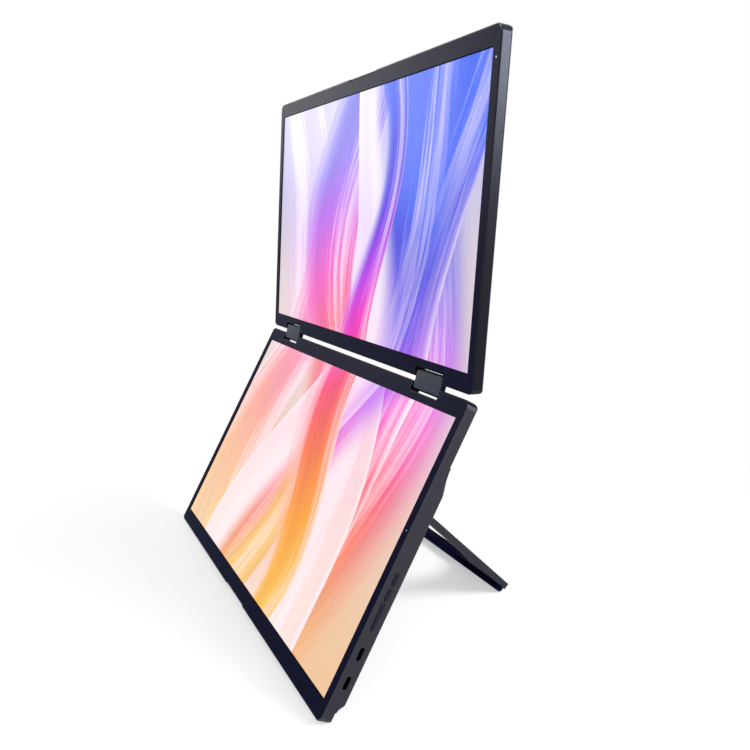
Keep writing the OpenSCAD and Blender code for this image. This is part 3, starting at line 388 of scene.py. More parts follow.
def off_centre(tree, at, space):
    """How far a point lies to either side of the middle."""
    return calc(tree, "ABSOLUTE", along(tree, at, space, (1, 0, 0)))


# %% Where the black is
side_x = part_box("lower_housing")[1].x
stand_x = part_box("stand_frame")[1].x
stand_inner_y = extent("stand_frame", stand_space)[0].y
HINGE_STRIP = 8.6 * MM
SIDE_LEFT_OUT = 1.3 * MM
STRIP_DEPTH = 7.2 * MM
SHADE_FROM_STAND_SIDE = 0.5 * MM
STAND_SHADE_DEPTH = 4.6 * MM


def hinge_edge_of(space):
    """The test for a shell's rim along its hinge edge, where black is painted as shade."""

    def test(tree, at):
        from_edge = calc(tree, "ABSOLUTE", along(tree, at, space, (0, 0, 1)))
        sideways = off_centre(tree, at, space)
        depth = along(tree, at, space, (0, 1, 0))
        return all_true(
            tree,
            calc(tree, "LESS_THAN", from_edge, HINGE_STRIP),
            calc(tree, "LESS_THAN", sideways, side_x - SIDE_LEFT_OUT),
            calc(tree, "LESS_THAN", depth, STRIP_DEPTH),
        )

    return test


def stand_painted_shade(tree, at):
    """The test for the inner sides of the stand, which are painted black-blue as shade."""
    sideways = off_centre(tree, at, stand_space)
    depth = along(tree, at, stand_space, (0, 1, 0))
    return all_true(
        tree,
        calc(tree, "LESS_THAN", sideways, stand_x - SHADE_FROM_STAND_SIDE),
        calc(tree, "LESS_THAN", depth, stand_inner_y + STAND_SHADE_DEPTH),
    )


print("black to", round(HINGE_STRIP / MM, 1), "mm from the hinge edge")

# %% Finishes of the shells, the stand and the plates
# Painted shade: black along the shells' hinge edge, and black-blue on the stand's inner sides
SHELL_PAINTED_SHADE = srgb(7, 8, 16)
STAND_PAINTED_SHADE = srgb(14, 13, 42)
lower_edge, upper_edge = hinge_edge_of(lower_space), hinge_edge_of(upper_space)
lower_shell = two_tone(
    "lower_shell", srgb(61, 60, 68), SHELL_PAINTED_SHADE, lower_edge, rough=0.42, metal=0.9, spec=0.03
)
# Painted shade: the upper shell is a darker copy of the lower shell's metal
upper_shell_painted_shade = two_tone(
    "upper_shell_painted_shade", srgb(34, 35, 41), SHELL_PAINTED_SHADE, upper_edge, rough=0.33, metal=0.9, spec=0.03
)
stand_skin = two_tone(
    "stand_skin", srgb(54, 56, 62), STAND_PAINTED_SHADE, stand_painted_shade, rough=0.45, metal=0.55, spec=0.02
)
# Painted sheen: the upper frame is the frame plastic with a stronger gloss, so it shows lighter
upper_frame_painted_sheen = grained("upper_frame_painted_sheen", FRAME_BLACK, 0.38, spec=0.016)
plate_finish = grained("hinge_plate", srgb(57, 61, 72), 0.5, grain=0.15, bump=0.3, spec=0.04)
print("with black:", [finish.name for finish in (lower_shell, upper_shell_painted_shade, stand_skin)])

# %% [markdown]
# ## Socket steel
# A USB-C socket is a drawn steel shell with a black coat. Only the rim of its mouth catches
# light: a few tenths of a millimetre further in it's in its own shade. Real light would do
# that too, but the mouth is so small that a few samples leave it noisy, so the colour goes
# dark with depth.

# %% Steel that is dark inside the mouth
mouth_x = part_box("usb_c_sockets")[1].x
MOUTH_SHOWS = 0.3 * MM
MOUTH_BLACK = srgb(3, 3, 5)
RIM_BLACK = srgb(20, 20, 24)
SPECKS_PER_M = 3000.0
COAT_ROUGH = 0.1
SPECK_ROUGHER = 0.04
socket_steel, st = new_material("socket_steel")
at = add(st, "ShaderNodeTexCoord").outputs["Object"]
x = add(st, "ShaderNodeSeparateXYZ", i0=at).outputs["X"]
specks = noise(st, at, scale=SPECKS_PER_M, detail=1.0)
skin_of(
    st,
    Base_Color=blend(st, ease(st, x, mouth_x - MOUTH_SHOWS, mouth_x), MOUTH_BLACK, RIM_BLACK),
    Roughness=calc(st, "MULTIPLY_ADD", specks, SPECK_ROUGHER, COAT_ROUGH),
    Metallic=1.0,
    Specular_IOR_Level=0.2,
)
print("mouths at x =", round(mouth_x, 4))

# %% [markdown]
# ## The picture on the screens
# Both screens are on, and show one desktop picture that runs on from the lower to the upper
# display: ribbons of silk that sweep upwards side by side, orange at the foot, pink in the
# middle and blue at the top, on a pale ground. The picture is drawn by nodes. A ribbon has a
# wavy middle line and a changing width. Its share across, from -1 at one edge to 1 at the
# other, drives everything: the edge on one side is crisp, the other fades, folds run along it
# as slow waves of light, and thin threads as a noise that is stretched along the ribbon. A
# screen gives off its own light, so the colours go to the emission, and outside the lit area
# the glass is black.

# %% Ribbons of the picture
# For each ribbon: place at the hinge line, slant, swing, waves, phase, half width, breathing,
# colour shift, paleness, and the side of its crisp edge
RIBBONS = [
    (0.116, 0.10, 0.022, 0.8, 1.9, 0.052, 0.25, 0.10, 0.10, 1),
    (-0.112, -0.12, 0.018, 0.9, 0.2, 0.050, 0.30, -0.06, 0.62, -1),
    (0.070, 0.26, 0.030, 0.9, 4.4, 0.062, 0.30, 0.16, 0.00, -1),
    (-0.070, 0.16, 0.034, 0.7, 5.6, 0.066, 0.35, -0.02, 0.30, 1),
    (0.020, -0.20, 0.026, 1.1, 2.6, 0.056, 0.35, 0.07, 0.72, -1),
    (0.044, 0.34, 0.024, 0.8, 0.8, 0.050, 0.30, 0.20, 0.05, 1),
    (-0.030, 0.06, 0.040, 1.0, 3.5, 0.050, 0.40, -0.10, 0.12, -1),
    (-0.004, 0.22, 0.034, 0.9, 1.2, 0.034, 0.45, 0.03, 0.80, 1),
    (0.022, 0.04, 0.030, 1.2, 5.0, 0.030, 0.45, 0.00, 0.00, -1),
]
# Colours along the picture, from the foot of the lower screen to the top of the upper one
SILK = [
    (0.00, (255, 198, 84)),
    (0.16, (255, 168, 58)),
    (0.30, (255, 122, 76)),
    (0.42, (252, 70, 112)),
    (0.54, (248, 62, 196)),
    (0.66, (188, 70, 240)),
    (0.78, (98, 64, 232)),
    (0.90, (46, 62, 226)),
    (1.00, (40, 96, 246)),
]
PICTURE_W = 344.2 * MM
PICTURE_H = 193.6 * MM
PICTURE_FROM_HINGE = 13.1 * MM
PICTURE_REACH = PICTURE_FROM_HINGE + PICTURE_H
print("ribbons:", len(RIBBONS))


# %% One colour along the silk
# How far the colour moves from a ribbon's middle to its edge
TURN_SHIFT = 0.07


def silk_colour(tree, up, shift, share):
    """The colour at a height, moved along by a shift and by the share across the ribbon."""
    ramp = tree.nodes.new("ShaderNodeValToRGB")
    stops = ramp.color_ramp.elements
    while len(stops) < len(SILK):
        stops.new(0.5)
    for stop, (position, colour) in zip(stops, SILK):
        stop.position = position
        stop.color = srgb(*colour)
    height = calc(tree, "MULTIPLY_ADD", up, 0.5 / PICTURE_REACH, 0.5 + shift)
    plug(tree, ramp.inputs["Fac"], calc(tree, "MULTIPLY_ADD", share, TURN_SHIFT, height))
    return ramp.outputs["Color"]


# %% Light and shade of the silk
# How fine the threads are across and along a ribbon, and the step from one ribbon's to the next's
THREADS_ACROSS = 11.0
THREADS_ALONG = 7.0
OTHER_THREADS = 3.7
# How close the folds lie, how far they wander, and the light that threads and folds give
FOLDS = 4.6
FOLDS_WANDER = 0.9
THREAD_LIGHT = 1.6
FOLD_LIGHT = 0.30


def light_on(tree, share, up, breath, phase, number):
    """How light the silk is: above 0 it shines, and below 0 it lies in shade."""
    on_ribbon = add(
        tree,
        "ShaderNodeCombineXYZ",
        i0=calc(tree, "MULTIPLY", share, THREADS_ACROSS),
        i1=calc(tree, "MULTIPLY", up, THREADS_ALONG),
        i2=OTHER_THREADS * number,
    )
    threads = noise(tree, on_ribbon.outputs[0], scale=1.0, detail=3.0, Roughness=0.7)
    thread = calc(tree, "SUBTRACT", threads, 0.5)
    wander = calc(tree, "MULTIPLY_ADD", breath, FOLDS_WANDER, phase)
    fold = calc(tree, "SINE", calc(tree, "MULTIPLY_ADD", share, FOLDS, wander))
    fold_light = calc(tree, "MULTIPLY", fold, FOLD_LIGHT)
    return calc(tree, "MULTIPLY_ADD", thread, THREAD_LIGHT, fold_light)


# %% One ribbon over what lies below it
BREATHS_PER_WAVE = 0.8
IN_SHADE = srgb(70, 20, 120)
IN_LIGHT = srgb(255, 243, 252)
SHADE_MOST = 0.9
LIGHT_MOST = 0.88
HEM_LIGHT = 0.5
# Shares across a ribbon: where its bright hem and its crisp edge end, and where it starts to fade
HEM_TO = -0.9
CRISP_TO = -0.985
SOFT_FROM = 0.1


def lay_ribbon(tree, below, across, up, number, ribbon):
    """Colour of the picture with one more ribbon on top."""
    start, slant, swing, waves, phase, half, breathing, shift, pale, crisp_side = ribbon
    angle = calc(tree, "MULTIPLY_ADD", up, waves * math.pi / PICTURE_REACH, phase)
    wave = calc(tree, "MULTIPLY", calc(tree, "SINE", angle), swing)
    middle = calc(tree, "ADD", wave, calc(tree, "MULTIPLY_ADD", up, slant, start))
    breath = calc(tree, "SINE", calc(tree, "MULTIPLY_ADD", angle, BREATHS_PER_WAVE, phase))
    width = calc(tree, "MULTIPLY_ADD", breath, half * breathing, half)
    share = calc(tree, "DIVIDE", calc(tree, "SUBTRACT", across, middle), width)
    share = calc(tree, "MULTIPLY", share, crisp_side)
    light = light_on(tree, share, up, breath, phase, number)
    silk = silk_colour(tree, up, shift, share)
    shade = calc(tree, "MAXIMUM", calc(tree, "MULTIPLY", light, -1.0), 0.0)
    shade = calc(tree, "MULTIPLY", shade, SHADE_MOST)
    shaded = blend(tree, shade, silk, blend(tree, 0.5, silk, IN_SHADE))
    gleam = calc(tree, "ADD", calc(tree, "MAXIMUM", light, 0.0), pale)
    hem = calc(tree, "SUBTRACT", 1.0, ease(tree, share, -1.0, HEM_TO))
    gleam = calc(tree, "MULTIPLY_ADD", hem, HEM_LIGHT, gleam)
    lit = blend(tree, calc(tree, "MINIMUM", gleam, LIGHT_MOST), shaded, IN_LIGHT)
    crisp = ease(tree, share, -1.0, CRISP_TO)
    soft = calc(tree, "SUBTRACT", 1.0, ease(tree, share, SOFT_FROM, 1.0))
    return blend(tree, calc(tree, "MULTIPLY", crisp, soft), below, lit)


# %% The glass with its lit picture
GROUND_TOP = srgb(184, 184, 232)
GROUND_MIDDLE = srgb(230, 214, 212)
GROUND_FOOT = srgb(240, 200, 158)
GLASS_BLACK = (0.004, 0.004, 0.006, 1)
UNLIT = (0, 0, 0, 1)


def screen_finish(name, space, lean, side):
    """Glass with its part of the picture: side is 1 for the upper display, -1 for the lower."""
    material, tree = new_material(name)
    at = add(tree, "ShaderNodeTexCoord").outputs["Object"]
    turned = add(tree, "ShaderNodeMapping", Vector=at, Rotation=(lean, 0, 0)).outputs[0]
    hinge_edge = (Matrix.Rotation(lean, 3, "X") @ space.translation).z
    flat = add(tree, "ShaderNodeSeparateXYZ", i0=turned).outputs
    across = flat["X"]
    up = calc(tree, "SUBTRACT", flat["Z"], hinge_edge)
    down = calc(tree, "MULTIPLY", up, -1.0)
    ground = blend(tree, ease(tree, up, 0.0, PICTURE_REACH), GROUND_MIDDLE, GROUND_TOP)
    ground = blend(tree, ease(tree, down, 0.0, PICTURE_REACH), ground, GROUND_FOOT)
    for number, ribbon in enumerate(RIBBONS):
        ground = lay_ribbon(tree, ground, across, up, number, ribbon)
    inside_x = calc(tree, "LESS_THAN", calc(tree, "ABSOLUTE", across), PICTURE_W / 2)
    middle = side * (PICTURE_FROM_HINGE + PICTURE_H / 2)
    off_middle = calc(tree, "ABSOLUTE", calc(tree, "SUBTRACT", up, middle))
    inside_z = calc(tree, "LESS_THAN", off_middle, PICTURE_H / 2)
    skin_of(
        tree,
        Base_Color=GLASS_BLACK,
        Roughness=0.35,
        Specular_IOR_Level=0.04,
        Emission_Color=blend(tree, all_true(tree, inside_x, inside_z), UNLIT, ground),
        Emission_Strength=1.0,
    )
    print(name, len(tree.nodes), "nodes")
    return material


own_finish = {
    "lower_screen": screen_finish("lower_picture", lower_space, lower_lean, -1),
    "upper_screen": screen_finish("upper_picture", upper_space, upper_lean, 1),
    "upper_bezel": upper_frame_painted_sheen,
    "lower_housing": lower_shell,
    "upper_housing": upper_shell_painted_shade,
    "stand_frame": stand_skin,
}

# %% [markdown]
# ## Finishes on the solids
# Each solid of the frame names a material slot in the record. Most solids get the finish of
# that name. A few have one of their own: the glass with its picture, the shells and the stand.
# The upper display's frame has a copy of the frame plastic with a stronger gloss, a painted
# sheen, and its shell a darker copy of the shell metal, painted shade.

# %% Put the finishes on the solids
slot_of = {row["node"]: row["material_slot"] for row in frame["record"]["subparts"]}
for name, node in nodes.items():
    node.data.materials.clear()
    node.data.materials.append(own_finish.get(name) or finishes[slot_of[name]])
print("dressed:", len(nodes))

# %% [markdown]
# ## Tools for modelling
# The small pieces below are modelled as by hand: a primitive, then edit mode, where edges and
# faces are picked and bevelled, inset or pulled. With the mouse, you'd click on them. Here
# they're picked by where their middle lies or which way they point. A piece is modelled
# straight, in its display's own space, and only then laid into the frame, so that its place
# is in its mesh.


# %% Helpers for modelling
# Limits for picking: a direction counts as along an axis above STRAIGHT and as square to it
# below SQUARE, and a place counts as on a plane within TOUCH
STRAIGHT = 0.99
SQUARE = 0.1
TOUCH = 0.01 * MM
SMOOTH_UNDER = math.radians(35)


def box_at(name, low, high):
    """A box between two corners, in edit mode with nothing selected."""
    bpy.ops.object.select_all(action="DESELECT")
    low, high = Vector(low), Vector(high)
    bpy.ops.mesh.primitive_cube_add(size=1, location=(low + high) / 2)
    piece = bpy.context.object
    piece.name = name
    piece.scale = high - low
    bpy.ops.object.transform_apply(location=True, rotation=True, scale=True)
    bpy.ops.object.mode_set(mode="EDIT")
    bpy.ops.mesh.select_all(action="DESELECT")
    return piece


def pick_edges(piece, test):
    """Selects the edges whose middle and direction pass a test."""
    bpy.ops.mesh.select_mode(type="EDGE")
    bpy.ops.mesh.select_all(action="DESELECT")
    mesh = bmesh.from_edit_mesh(piece.data)
    for edge in mesh.edges:
        a, b = (vertex.co for vertex in edge.verts)
        if test((a + b) / 2, (b - a).normalized()):
            edge.select_set(True)
    bmesh.update_edit_mesh(piece.data)


def pick_faces(piece, test):
    """Selects the faces whose middle and normal pass a test."""
    bpy.ops.mesh.select_mode(type="FACE")
    bpy.ops.mesh.select_all(action="DESELECT")
    mesh = bmesh.from_edit_mesh(piece.data)
    for face in mesh.faces:
        if test(face.calc_center_median(), face.normal):
            face.select_set(True)
    bmesh.update_edit_mesh(piece.data)


def pick_object(piece):
    """Selects one object, and nothing else."""
    bpy.ops.object.select_all(action="DESELECT")
    piece.select_set(True)
    bpy.context.view_layer.objects.active = piece


def lay_in(piece, space, body, finish):
    """Smooths a piece, lays it into the frame, and gives it a body and a finish."""
    bpy.ops.object.mode_set(mode="OBJECT")
    bpy.ops.object.shade_smooth_by_angle(angle=SMOOTH_UNDER)
    piece.matrix_world = space
    bpy.ops.object.transform_apply(location=True, rotation=True, scale=True)
    piece.data.materials.clear()
    piece.data.materials.append(finish)
    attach(piece, body)
    print(piece.name, len(piece.data.polygons), "faces")


# %% [markdown]
# ## Keys
# In the right side wall there are a power key, a menu key and a longer rocker. The CAD model
# has them as plain bars with round ends that fill their slots. A real cap stands a little
# proud, and its rim is softened, so its upper end catches the light and its edge draws a
# shadow. Its face is slightly hollow for the fingertip. Each key is modelled again with all
# that, with the flange that keeps it in its slot and the stem that reaches the switch, and
# takes the CAD key's place. Only the face and the rim have the metal coat. The skirt below
# them is painted black as shade, so the gap round a key stays dark.

# %% Measures of the keys
WALL = 1.6 * MM
KEY_W = 2.55 * MM
KEY_PROUD = 0.45 * MM
KEY_RIM = 0.3 * MM
KEY_FACE_INSET = 0.4 * MM
KEY_HOLLOW = 0.06 * MM
FLANGE_T = 0.8 * MM
FLANGE_RIM = 0.8 * MM
STEM_R = 0.9 * MM
STEM_SHORTER = 0.03 * MM
HIDDEN_EDGE_R = 0.12 * MM
# For each key: the body it moves with, the play behind the wall, and the places of its stems
KEYS = {
    "power_button": ("power_key", 0.1 * MM, [0.0]),
    "menu_button": ("menu_key", 0.1 * MM, [0.0]),
    "rocker_button": ("rocker_key", 0.35 * MM, [-6.2 * MM, 6.2 * MM]),
}
key_top = side_x + KEY_PROUD
print("keys stand", round(KEY_PROUD / MM, 2), "mm proud")

# %% Keys coated on top
KEY_COLOUR = srgb(47, 45, 57)
# Painted shade: the skirt is black, so the side and the gap round a key look dark
SKIRT_PAINTED_SHADE = srgb(3, 3, 6)
FULL_COAT = 0.4 * KEY_RIM


def key_coat(tree, at):
    """The coat's colour on the face and the rim, and black painted on the skirt as shade."""
    height = along(tree, at, lower_space, (1, 0, 0))
    coated = ease(tree, height, key_top - KEY_RIM, key_top - FULL_COAT)
    return blend(tree, coated, SKIRT_PAINTED_SHADE, KEY_COLOUR)


key_finish = grained("key_coat", key_coat, 0.24, metal=1.0, grain=0.1, bump=0.05)
print("the coat is full in the top", round(FULL_COAT / MM, 2), "mm of a key")

# %% A bar with round ends
SAME_POINT = 0.001 * MM


def round_ended(name, x0, x1, middle, length, width):
    """A bar along X whose cross-section is a slot with round ends, in edit mode."""
    y, z = middle
    bar = box_at(name, (x0, y - width / 2, z - length / 2), (x1, y + width / 2, z + length / 2))
    pick_edges(bar, lambda at, way: abs(way.x) > STRAIGHT)
    bpy.ops.mesh.bevel(
        offset=width / 2, offset_type="OFFSET", segments=9, affect="EDGES", clamp_overlap=True
    )
    bpy.ops.mesh.select_all(action="SELECT")
    bpy.ops.mesh.remove_doubles(threshold=SAME_POINT)
    return bar


def stem_between(tip, root, y, z):
    """A short round stem behind a key, with a softened tip."""
    bpy.ops.object.select_all(action="DESELECT")
    middle = Vector(((tip + root) / 2, y, z))
    bpy.ops.mesh.primitive_cylinder_add(
        vertices=24,
        radius=STEM_R,
        depth=root - tip,
        location=middle,
        rotation=(0, math.pi / 2, 0),
    )
    stem = bpy.context.object
    bpy.ops.object.transform_apply(location=True, rotation=True, scale=True)
    bpy.ops.object.mode_set(mode="EDIT")
    pick_edges(stem, lambda at, way: abs(way.x) < SQUARE and at.x < middle.x)
    bpy.ops.mesh.bevel(offset=HIDDEN_EDGE_R, segments=3, affect="EDGES")
    bpy.ops.object.mode_set(mode="OBJECT")
    return stem


def join(parts):
    """Joins pieces into the first one."""
    bpy.ops.object.select_all(action="DESELECT")
    for part in parts:
        part.select_set(True)
    bpy.context.view_layer.objects.active = parts[0]
    bpy.ops.object.join()
    return parts[0]


# %% Keys with a softened rim
def key_piece(node_name, body, play, stems):
    """The key that stands for a CAD key, with flange and stems."""
    low, high = extent(node_name, lower_space)
    y, z = (low.y + high.y) / 2, (low.z + high.z) / 2
    length = high.z - low.z - 2 * FLANGE_RIM
    inner = side_x - WALL - play - FLANGE_T
    cap = round_ended(node_name + "_cap", inner, key_top, (y, z), length, KEY_W)
    pick_faces(cap, lambda at, way: way.x > STRAIGHT)
    bpy.ops.mesh.bevel(offset=KEY_RIM, segments=5, affect="EDGES")
    pick_faces(cap, lambda at, way: way.x > STRAIGHT)
    bpy.ops.mesh.inset(thickness=KEY_FACE_INSET, depth=-KEY_HOLLOW)
    bpy.ops.object.mode_set(mode="OBJECT")
    flange_size = (length + 2 * FLANGE_RIM, KEY_W + 2 * FLANGE_RIM)
    flange = round_ended("flange", inner, inner + FLANGE_T, (y, z), *flange_size)
    pick_edges(flange, lambda at, way: abs(way.x) < SQUARE)
    bpy.ops.mesh.bevel(offset=HIDDEN_EDGE_R, segments=2, affect="EDGES")
    bpy.ops.object.mode_set(mode="OBJECT")
    tip = low.x + STEM_SHORTER
    key = join([cap, flange] + [stem_between(tip, inner, y, z + at) for at in stems])
    lay_in(key, lower_space, body, key_finish)
    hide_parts(node_name)


for node_name, (body, play, stems) in KEYS.items():
    key_piece(node_name, body, play, stems)

# %% [markdown]
# ## Sockets
# The CAD socket is a tube with a tongue. The drawn shell of a real one has a rolled lip, and
# that lip is what glints at the rim of the black mouth. The tongue carries a row of gold
# contacts on either side. One socket is modelled: a bar with round ends is inset and pushed
# in for the mouth, and the two rims are bevelled. The second is a copy with its own mesh.

# %% Measures of the sockets
SOCKET_W = 8.94 * MM
SOCKET_H = 3.2 * MM
SHELL_T = 0.35 * MM
SHELL_BACK = 0.8 * MM
LIP = 0.16 * MM
TONGUE_W = 6.6 * MM
TONGUE_T = 0.7 * MM
TONGUE_BACK = 1.2 * MM
socket_low, socket_high = extent("usb_c_sockets", lower_space)
socket_y = (socket_low.y + socket_high.y) / 2
socket_zs = [socket_low.z + SOCKET_W / 2, socket_high.z - SOCKET_W / 2]
socket_pitch = socket_zs[1] - socket_zs[0]
print("sockets", round(socket_pitch / MM, 2), "mm apart")


# %% Shell and tongue of a socket
def copy_to(piece, name, shift):
    """A copy of a piece with its own mesh, moved in its mesh."""
    twin = piece.copy()
    twin.data = piece.data.copy()
    twin.name = name
    twin.data.transform(Matrix.Translation(shift))
    bpy.context.collection.objects.link(twin)
    return twin


def socket_at(name, z):
    """A drawn shell with a rolled lip, and its tongue."""
    back_x = socket_low.x
    bottom_x = back_x + SHELL_BACK
    shell = round_ended(name, back_x, mouth_x, (socket_y, z), SOCKET_W, SOCKET_H)
    pick_faces(shell, lambda at, way: way.x > STRAIGHT)
    bpy.ops.mesh.inset(thickness=SHELL_T)
    bpy.ops.mesh.extrude_region_move(
        TRANSFORM_OT_translate={"value": (bottom_x - mouth_x, 0, 0)}
    )
    pick_edges(shell, lambda at, way: abs(way.x) < SQUARE and abs(at.x - mouth_x) < TOUCH)
    bpy.ops.mesh.bevel(offset=LIP, segments=3, affect="EDGES")
    bpy.ops.object.mode_set(mode="OBJECT")
    root_x, tip_x = back_x + SHELL_BACK / 2, mouth_x - TONGUE_BACK
    tongue = round_ended("tongue", root_x, tip_x, (socket_y, z), TONGUE_W, TONGUE_T)
    bpy.ops.object.mode_set(mode="OBJECT")
    return join([shell, tongue])


first_socket = socket_at("usb_c_socket_1", socket_zs[0])
second_socket = copy_to(first_socket, "usb_c_socket_2", (0, 0, socket_pitch))
for socket in (first_socket, second_socket):
    pick_object(socket)
    lay_in(socket, lower_space, "lower_display", socket_steel)
    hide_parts("usb_c_sockets")

# %% Gold contacts on the tongues
CONTACTS = 8
CONTACT_PITCH = 0.7 * MM
CONTACT_SIZE = Vector((3.2 * MM, 0.03 * MM, 0.36 * MM))
CONTACT_SET_BACK = 0.4 * MM
CONTACT_CORNER = 0.08 * MM
contact_middle = Vector(
    (
        mouth_x - TONGUE_BACK - CONTACT_SET_BACK - CONTACT_SIZE.x / 2,
        socket_y + TONGUE_T / 2,
        socket_zs[0] - (CONTACTS - 1) / 2 * CONTACT_PITCH,
    )
)
contact = box_at(
    "usb_c_contacts", contact_middle - CONTACT_SIZE / 2, contact_middle + CONTACT_SIZE / 2
)
pick_edges(contact, lambda at, way: abs(way.y) > STRAIGHT)
bpy.ops.mesh.bevel(offset=CONTACT_CORNER, segments=2, affect="EDGES")
bpy.ops.object.mode_set(mode="OBJECT")
row = [contact]
for to_socket in (0, socket_pitch):
    for to_side in (0, -TONGUE_T):
        for i in range(CONTACTS):
            shift = (0, to_side, to_socket + i * CONTACT_PITCH)
            if any(shift):
                row.append(copy_to(contact, "contact", shift))
lay_in(join(row), lower_space, "lower_display", finishes["insert_brass"])

# %% [markdown]
# ## Hinge blocks
# The CAD model has each hinge block as one solid: a bar with a raised face. On the real one
# the bar is a dark moulding, well rounded at the back so that it clears its notches as it
# turns, and the raised face is a grey metal plate on it. The bar is coloured near black: its
# dark moulding, together with painted shade on its rounded edges above and below the plate.
# Two finishes on two pieces show that better than one, so the block is modelled again: a box
# with bevelled edges for the bar, and a thinner one for the plate. The left block is a copy.

# %% Measures of a hinge block
BLOCK_W = 33.0 * MM
BAR_H = 15.7 * MM
BAR_FRONT = -1.95 * MM
BAR_BACK = 2.75 * MM
BAR_FRONT_R = 2.05 * MM
BAR_BACK_R = 2.2 * MM
BAR_CORNER = 2.0 * MM
PLATE_H = 12.9 * MM
PLATE_FRONT = -2.75 * MM
PLATE_SUNK = 0.5 * MM
PLATE_R = 0.3 * MM
PLATE_CORNER = 1.1 * MM
block_x = sum(corner.x for corner in extent("hinge_block_right", link_space)) / 2
half_pitch = link.length / 2
print("hinge block at x =", round(block_x, 4))


# %% Bar and plate of a hinge block
def rounded_slab(name, y0, y1, height, corner, front_r, back_r):
    """A slab with round corners seen from the front, and softened front and back edges."""
    low = (block_x - BLOCK_W / 2, y0, half_pitch - height / 2)
    high = (block_x + BLOCK_W / 2, y1, half_pitch + height / 2)
    slab = box_at(name, low, high)
    pick_edges(slab, lambda at, way: abs(way.y) > STRAIGHT)
    bpy.ops.mesh.bevel(offset=corner, segments=6, affect="EDGES")
    for y, radius in ((y0, front_r), (y1, back_r)):
        if radius:
            pick_edges(slab, lambda at, way: abs(way.y) < SQUARE and abs(at.y - y) < TOUCH)
            bpy.ops.mesh.bevel(offset=radius, segments=6, affect="EDGES", clamp_overlap=True)
    bpy.ops.object.mode_set(mode="OBJECT")
    return slab


bar = rounded_slab(
    "hinge_block_right_bar", BAR_FRONT, BAR_BACK, BAR_H, BAR_CORNER, BAR_FRONT_R, BAR_BACK_R
)
plate_back = BAR_FRONT + PLATE_SUNK
plate = rounded_slab(
    "hinge_block_right_plate", PLATE_FRONT, plate_back, PLATE_H, PLATE_CORNER, PLATE_R, 0
)
to_left = (-2 * block_x, 0, 0)
left_bar = copy_to(bar, "hinge_block_left_bar", to_left)
left_plate = copy_to(plate, "hinge_block_left_plate", to_left)

# %% Lay the hinge blocks into the frame
for piece, finish in (
    (bar, finishes["hinge_metal"]),
    (left_bar, finishes["hinge_metal"]),
    (plate, plate_finish),
    (left_plate, plate_finish),
):
    pick_object(piece)
    lay_in(piece, link_space, "hinge_links", finish)
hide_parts("hinge_block_right")
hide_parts("hinge_block_left")

# %% [markdown]
# ## Foot strip
# The stand rests on a rubber strip along its tip. The CAD strip is a rounded bar. On the real
# one its ends are rounded too, and shallow grooves run along it for grip. A box gets round
# corners with bevels. Then it's bisected along the edges of the grooves, and the faces that
# lie in the grooves are pushed in.

# %% Foot strip with grooves
FOOT_END_R = 3.0 * MM
FOOT_EDGE_R = 1.8 * MM
FOOT_LONGER = 1.5 * MM
GROOVE_W = 0.6 * MM
GROOVE_D = 0.35 * MM
GROOVE_PITCH = 1.5 * MM
GROOVES = 3
foot_low, foot_high = extent("stand_foot", stand_space)
foot = box_at(
    "foot_strip",
    (foot_low.x - FOOT_LONGER, foot_low.y, foot_low.z),
    (foot_high.x + FOOT_LONGER, stand_inner_y, foot_high.z),
)
pick_edges(foot, lambda at, way: abs(way.y) > STRAIGHT)
bpy.ops.mesh.bevel(offset=FOOT_END_R, segments=5, affect="EDGES")
pick_edges(foot, lambda at, way: abs(way.y) < SQUARE and abs(at.y - foot_low.y) < TOUCH)
bpy.ops.mesh.bevel(offset=FOOT_EDGE_R, segments=5, affect="EDGES")
foot_middle = (foot_low.z + foot_high.z) / 2
groove_zs = [foot_middle + (i - (GROOVES - 1) / 2) * GROOVE_PITCH for i in range(GROOVES)]
for z in groove_zs:
    for edge in (-GROOVE_W / 2, GROOVE_W / 2):
        bpy.ops.mesh.select_all(action="SELECT")
        bpy.ops.mesh.bisect(plane_co=(0, 0, z + edge), plane_no=(0, 0, 1))
pick_faces(
    foot,
    lambda at, way: way.y < -STRAIGHT and any(abs(at.z - z) < GROOVE_W / 2 for z in groove_zs),
)
bpy.ops.mesh.extrude_region_move(TRANSFORM_OT_translate={"value": (0, GROOVE_D, 0)})
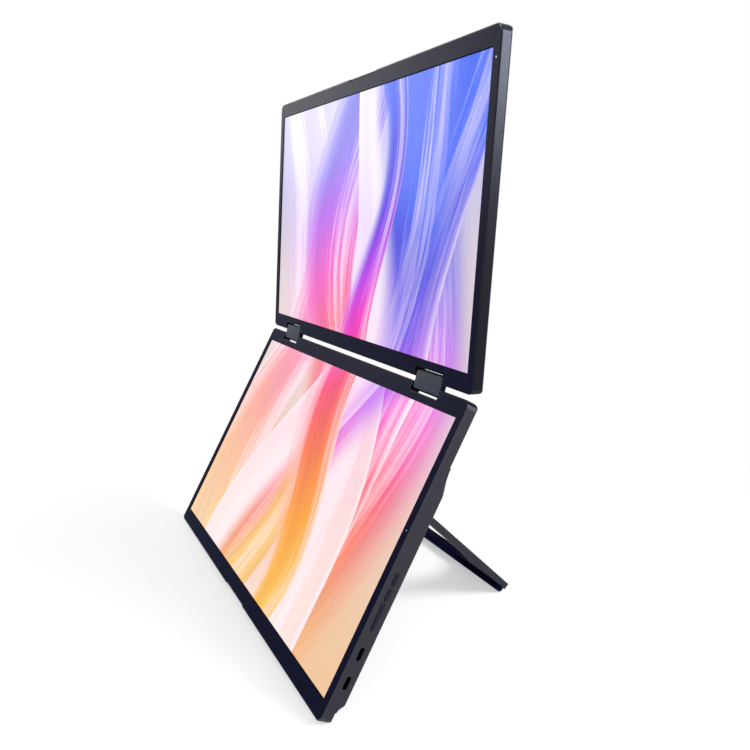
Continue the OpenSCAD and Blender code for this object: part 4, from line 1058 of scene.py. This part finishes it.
lay_in(foot, stand_space, "stand", finishes["rubber"])
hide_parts("stand_foot")

# %% [markdown]
# ## Vent filter
# Behind the vents in the back there's a fine black nylon mesh that keeps dust off the boards,
# held in a thin frame. It's a flat plate whose middle is inset and pushed in, and the weave
# is in its finish: two sets of waves, one across the other, as bump and as light and dark.

# %% A woven finish
WEAVE_PITCH = 0.5 * MM
PITCH_OVER_RELIEF = 4


def woven(name, light, dark, pitch):
    """A plain weave in a display's plane, from two crossed waves."""
    material, tree = new_material(name)
    at = add(tree, "ShaderNodeTexCoord").outputs["Object"]
    waves = []
    for way in ((1, 0, 0), (0, 0, 1)):
        turn = calc(tree, "MULTIPLY", along(tree, at, lower_space, way), 2 * math.pi / pitch)
        waves.append(calc(tree, "SINE", turn))
    thread = calc(tree, "MULTIPLY_ADD", calc(tree, "MULTIPLY", *waves), 0.5, 0.5)
    relief = add(
        tree, "ShaderNodeBump", Strength=0.6, Distance=pitch / PITCH_OVER_RELIEF, Height=thread
    )
    skin_of(
        tree,
        Base_Color=blend(tree, thread, dark, light),
        Roughness=0.7,
        Normal=relief.outputs[0],
        Specular_IOR_Level=0.2,
    )
    return material


vent_mesh = woven("vent_mesh", srgb(40, 40, 44), srgb(10, 10, 12), WEAVE_PITCH)

# %% Filter behind the vents
FILTER_LOW = Vector((-47 * MM, 10.62 * MM, -91.5 * MM))
FILTER_HIGH = Vector((47 * MM, 10.95 * MM, -76.5 * MM))
FILTER_CORNER = 1.5 * MM
FILTER_FRAME = 0.8 * MM
FILTER_DIP = 0.12 * MM
dust_filter = box_at("vent_filter", FILTER_LOW, FILTER_HIGH)
pick_edges(dust_filter, lambda at, way: abs(way.y) > STRAIGHT)
bpy.ops.mesh.bevel(offset=FILTER_CORNER, segments=4, affect="EDGES")
pick_faces(dust_filter, lambda at, way: way.y > STRAIGHT)
bpy.ops.mesh.inset(thickness=FILTER_FRAME, depth=-FILTER_DIP)
lay_in(dust_filter, lower_space, "lower_display", vent_mesh)
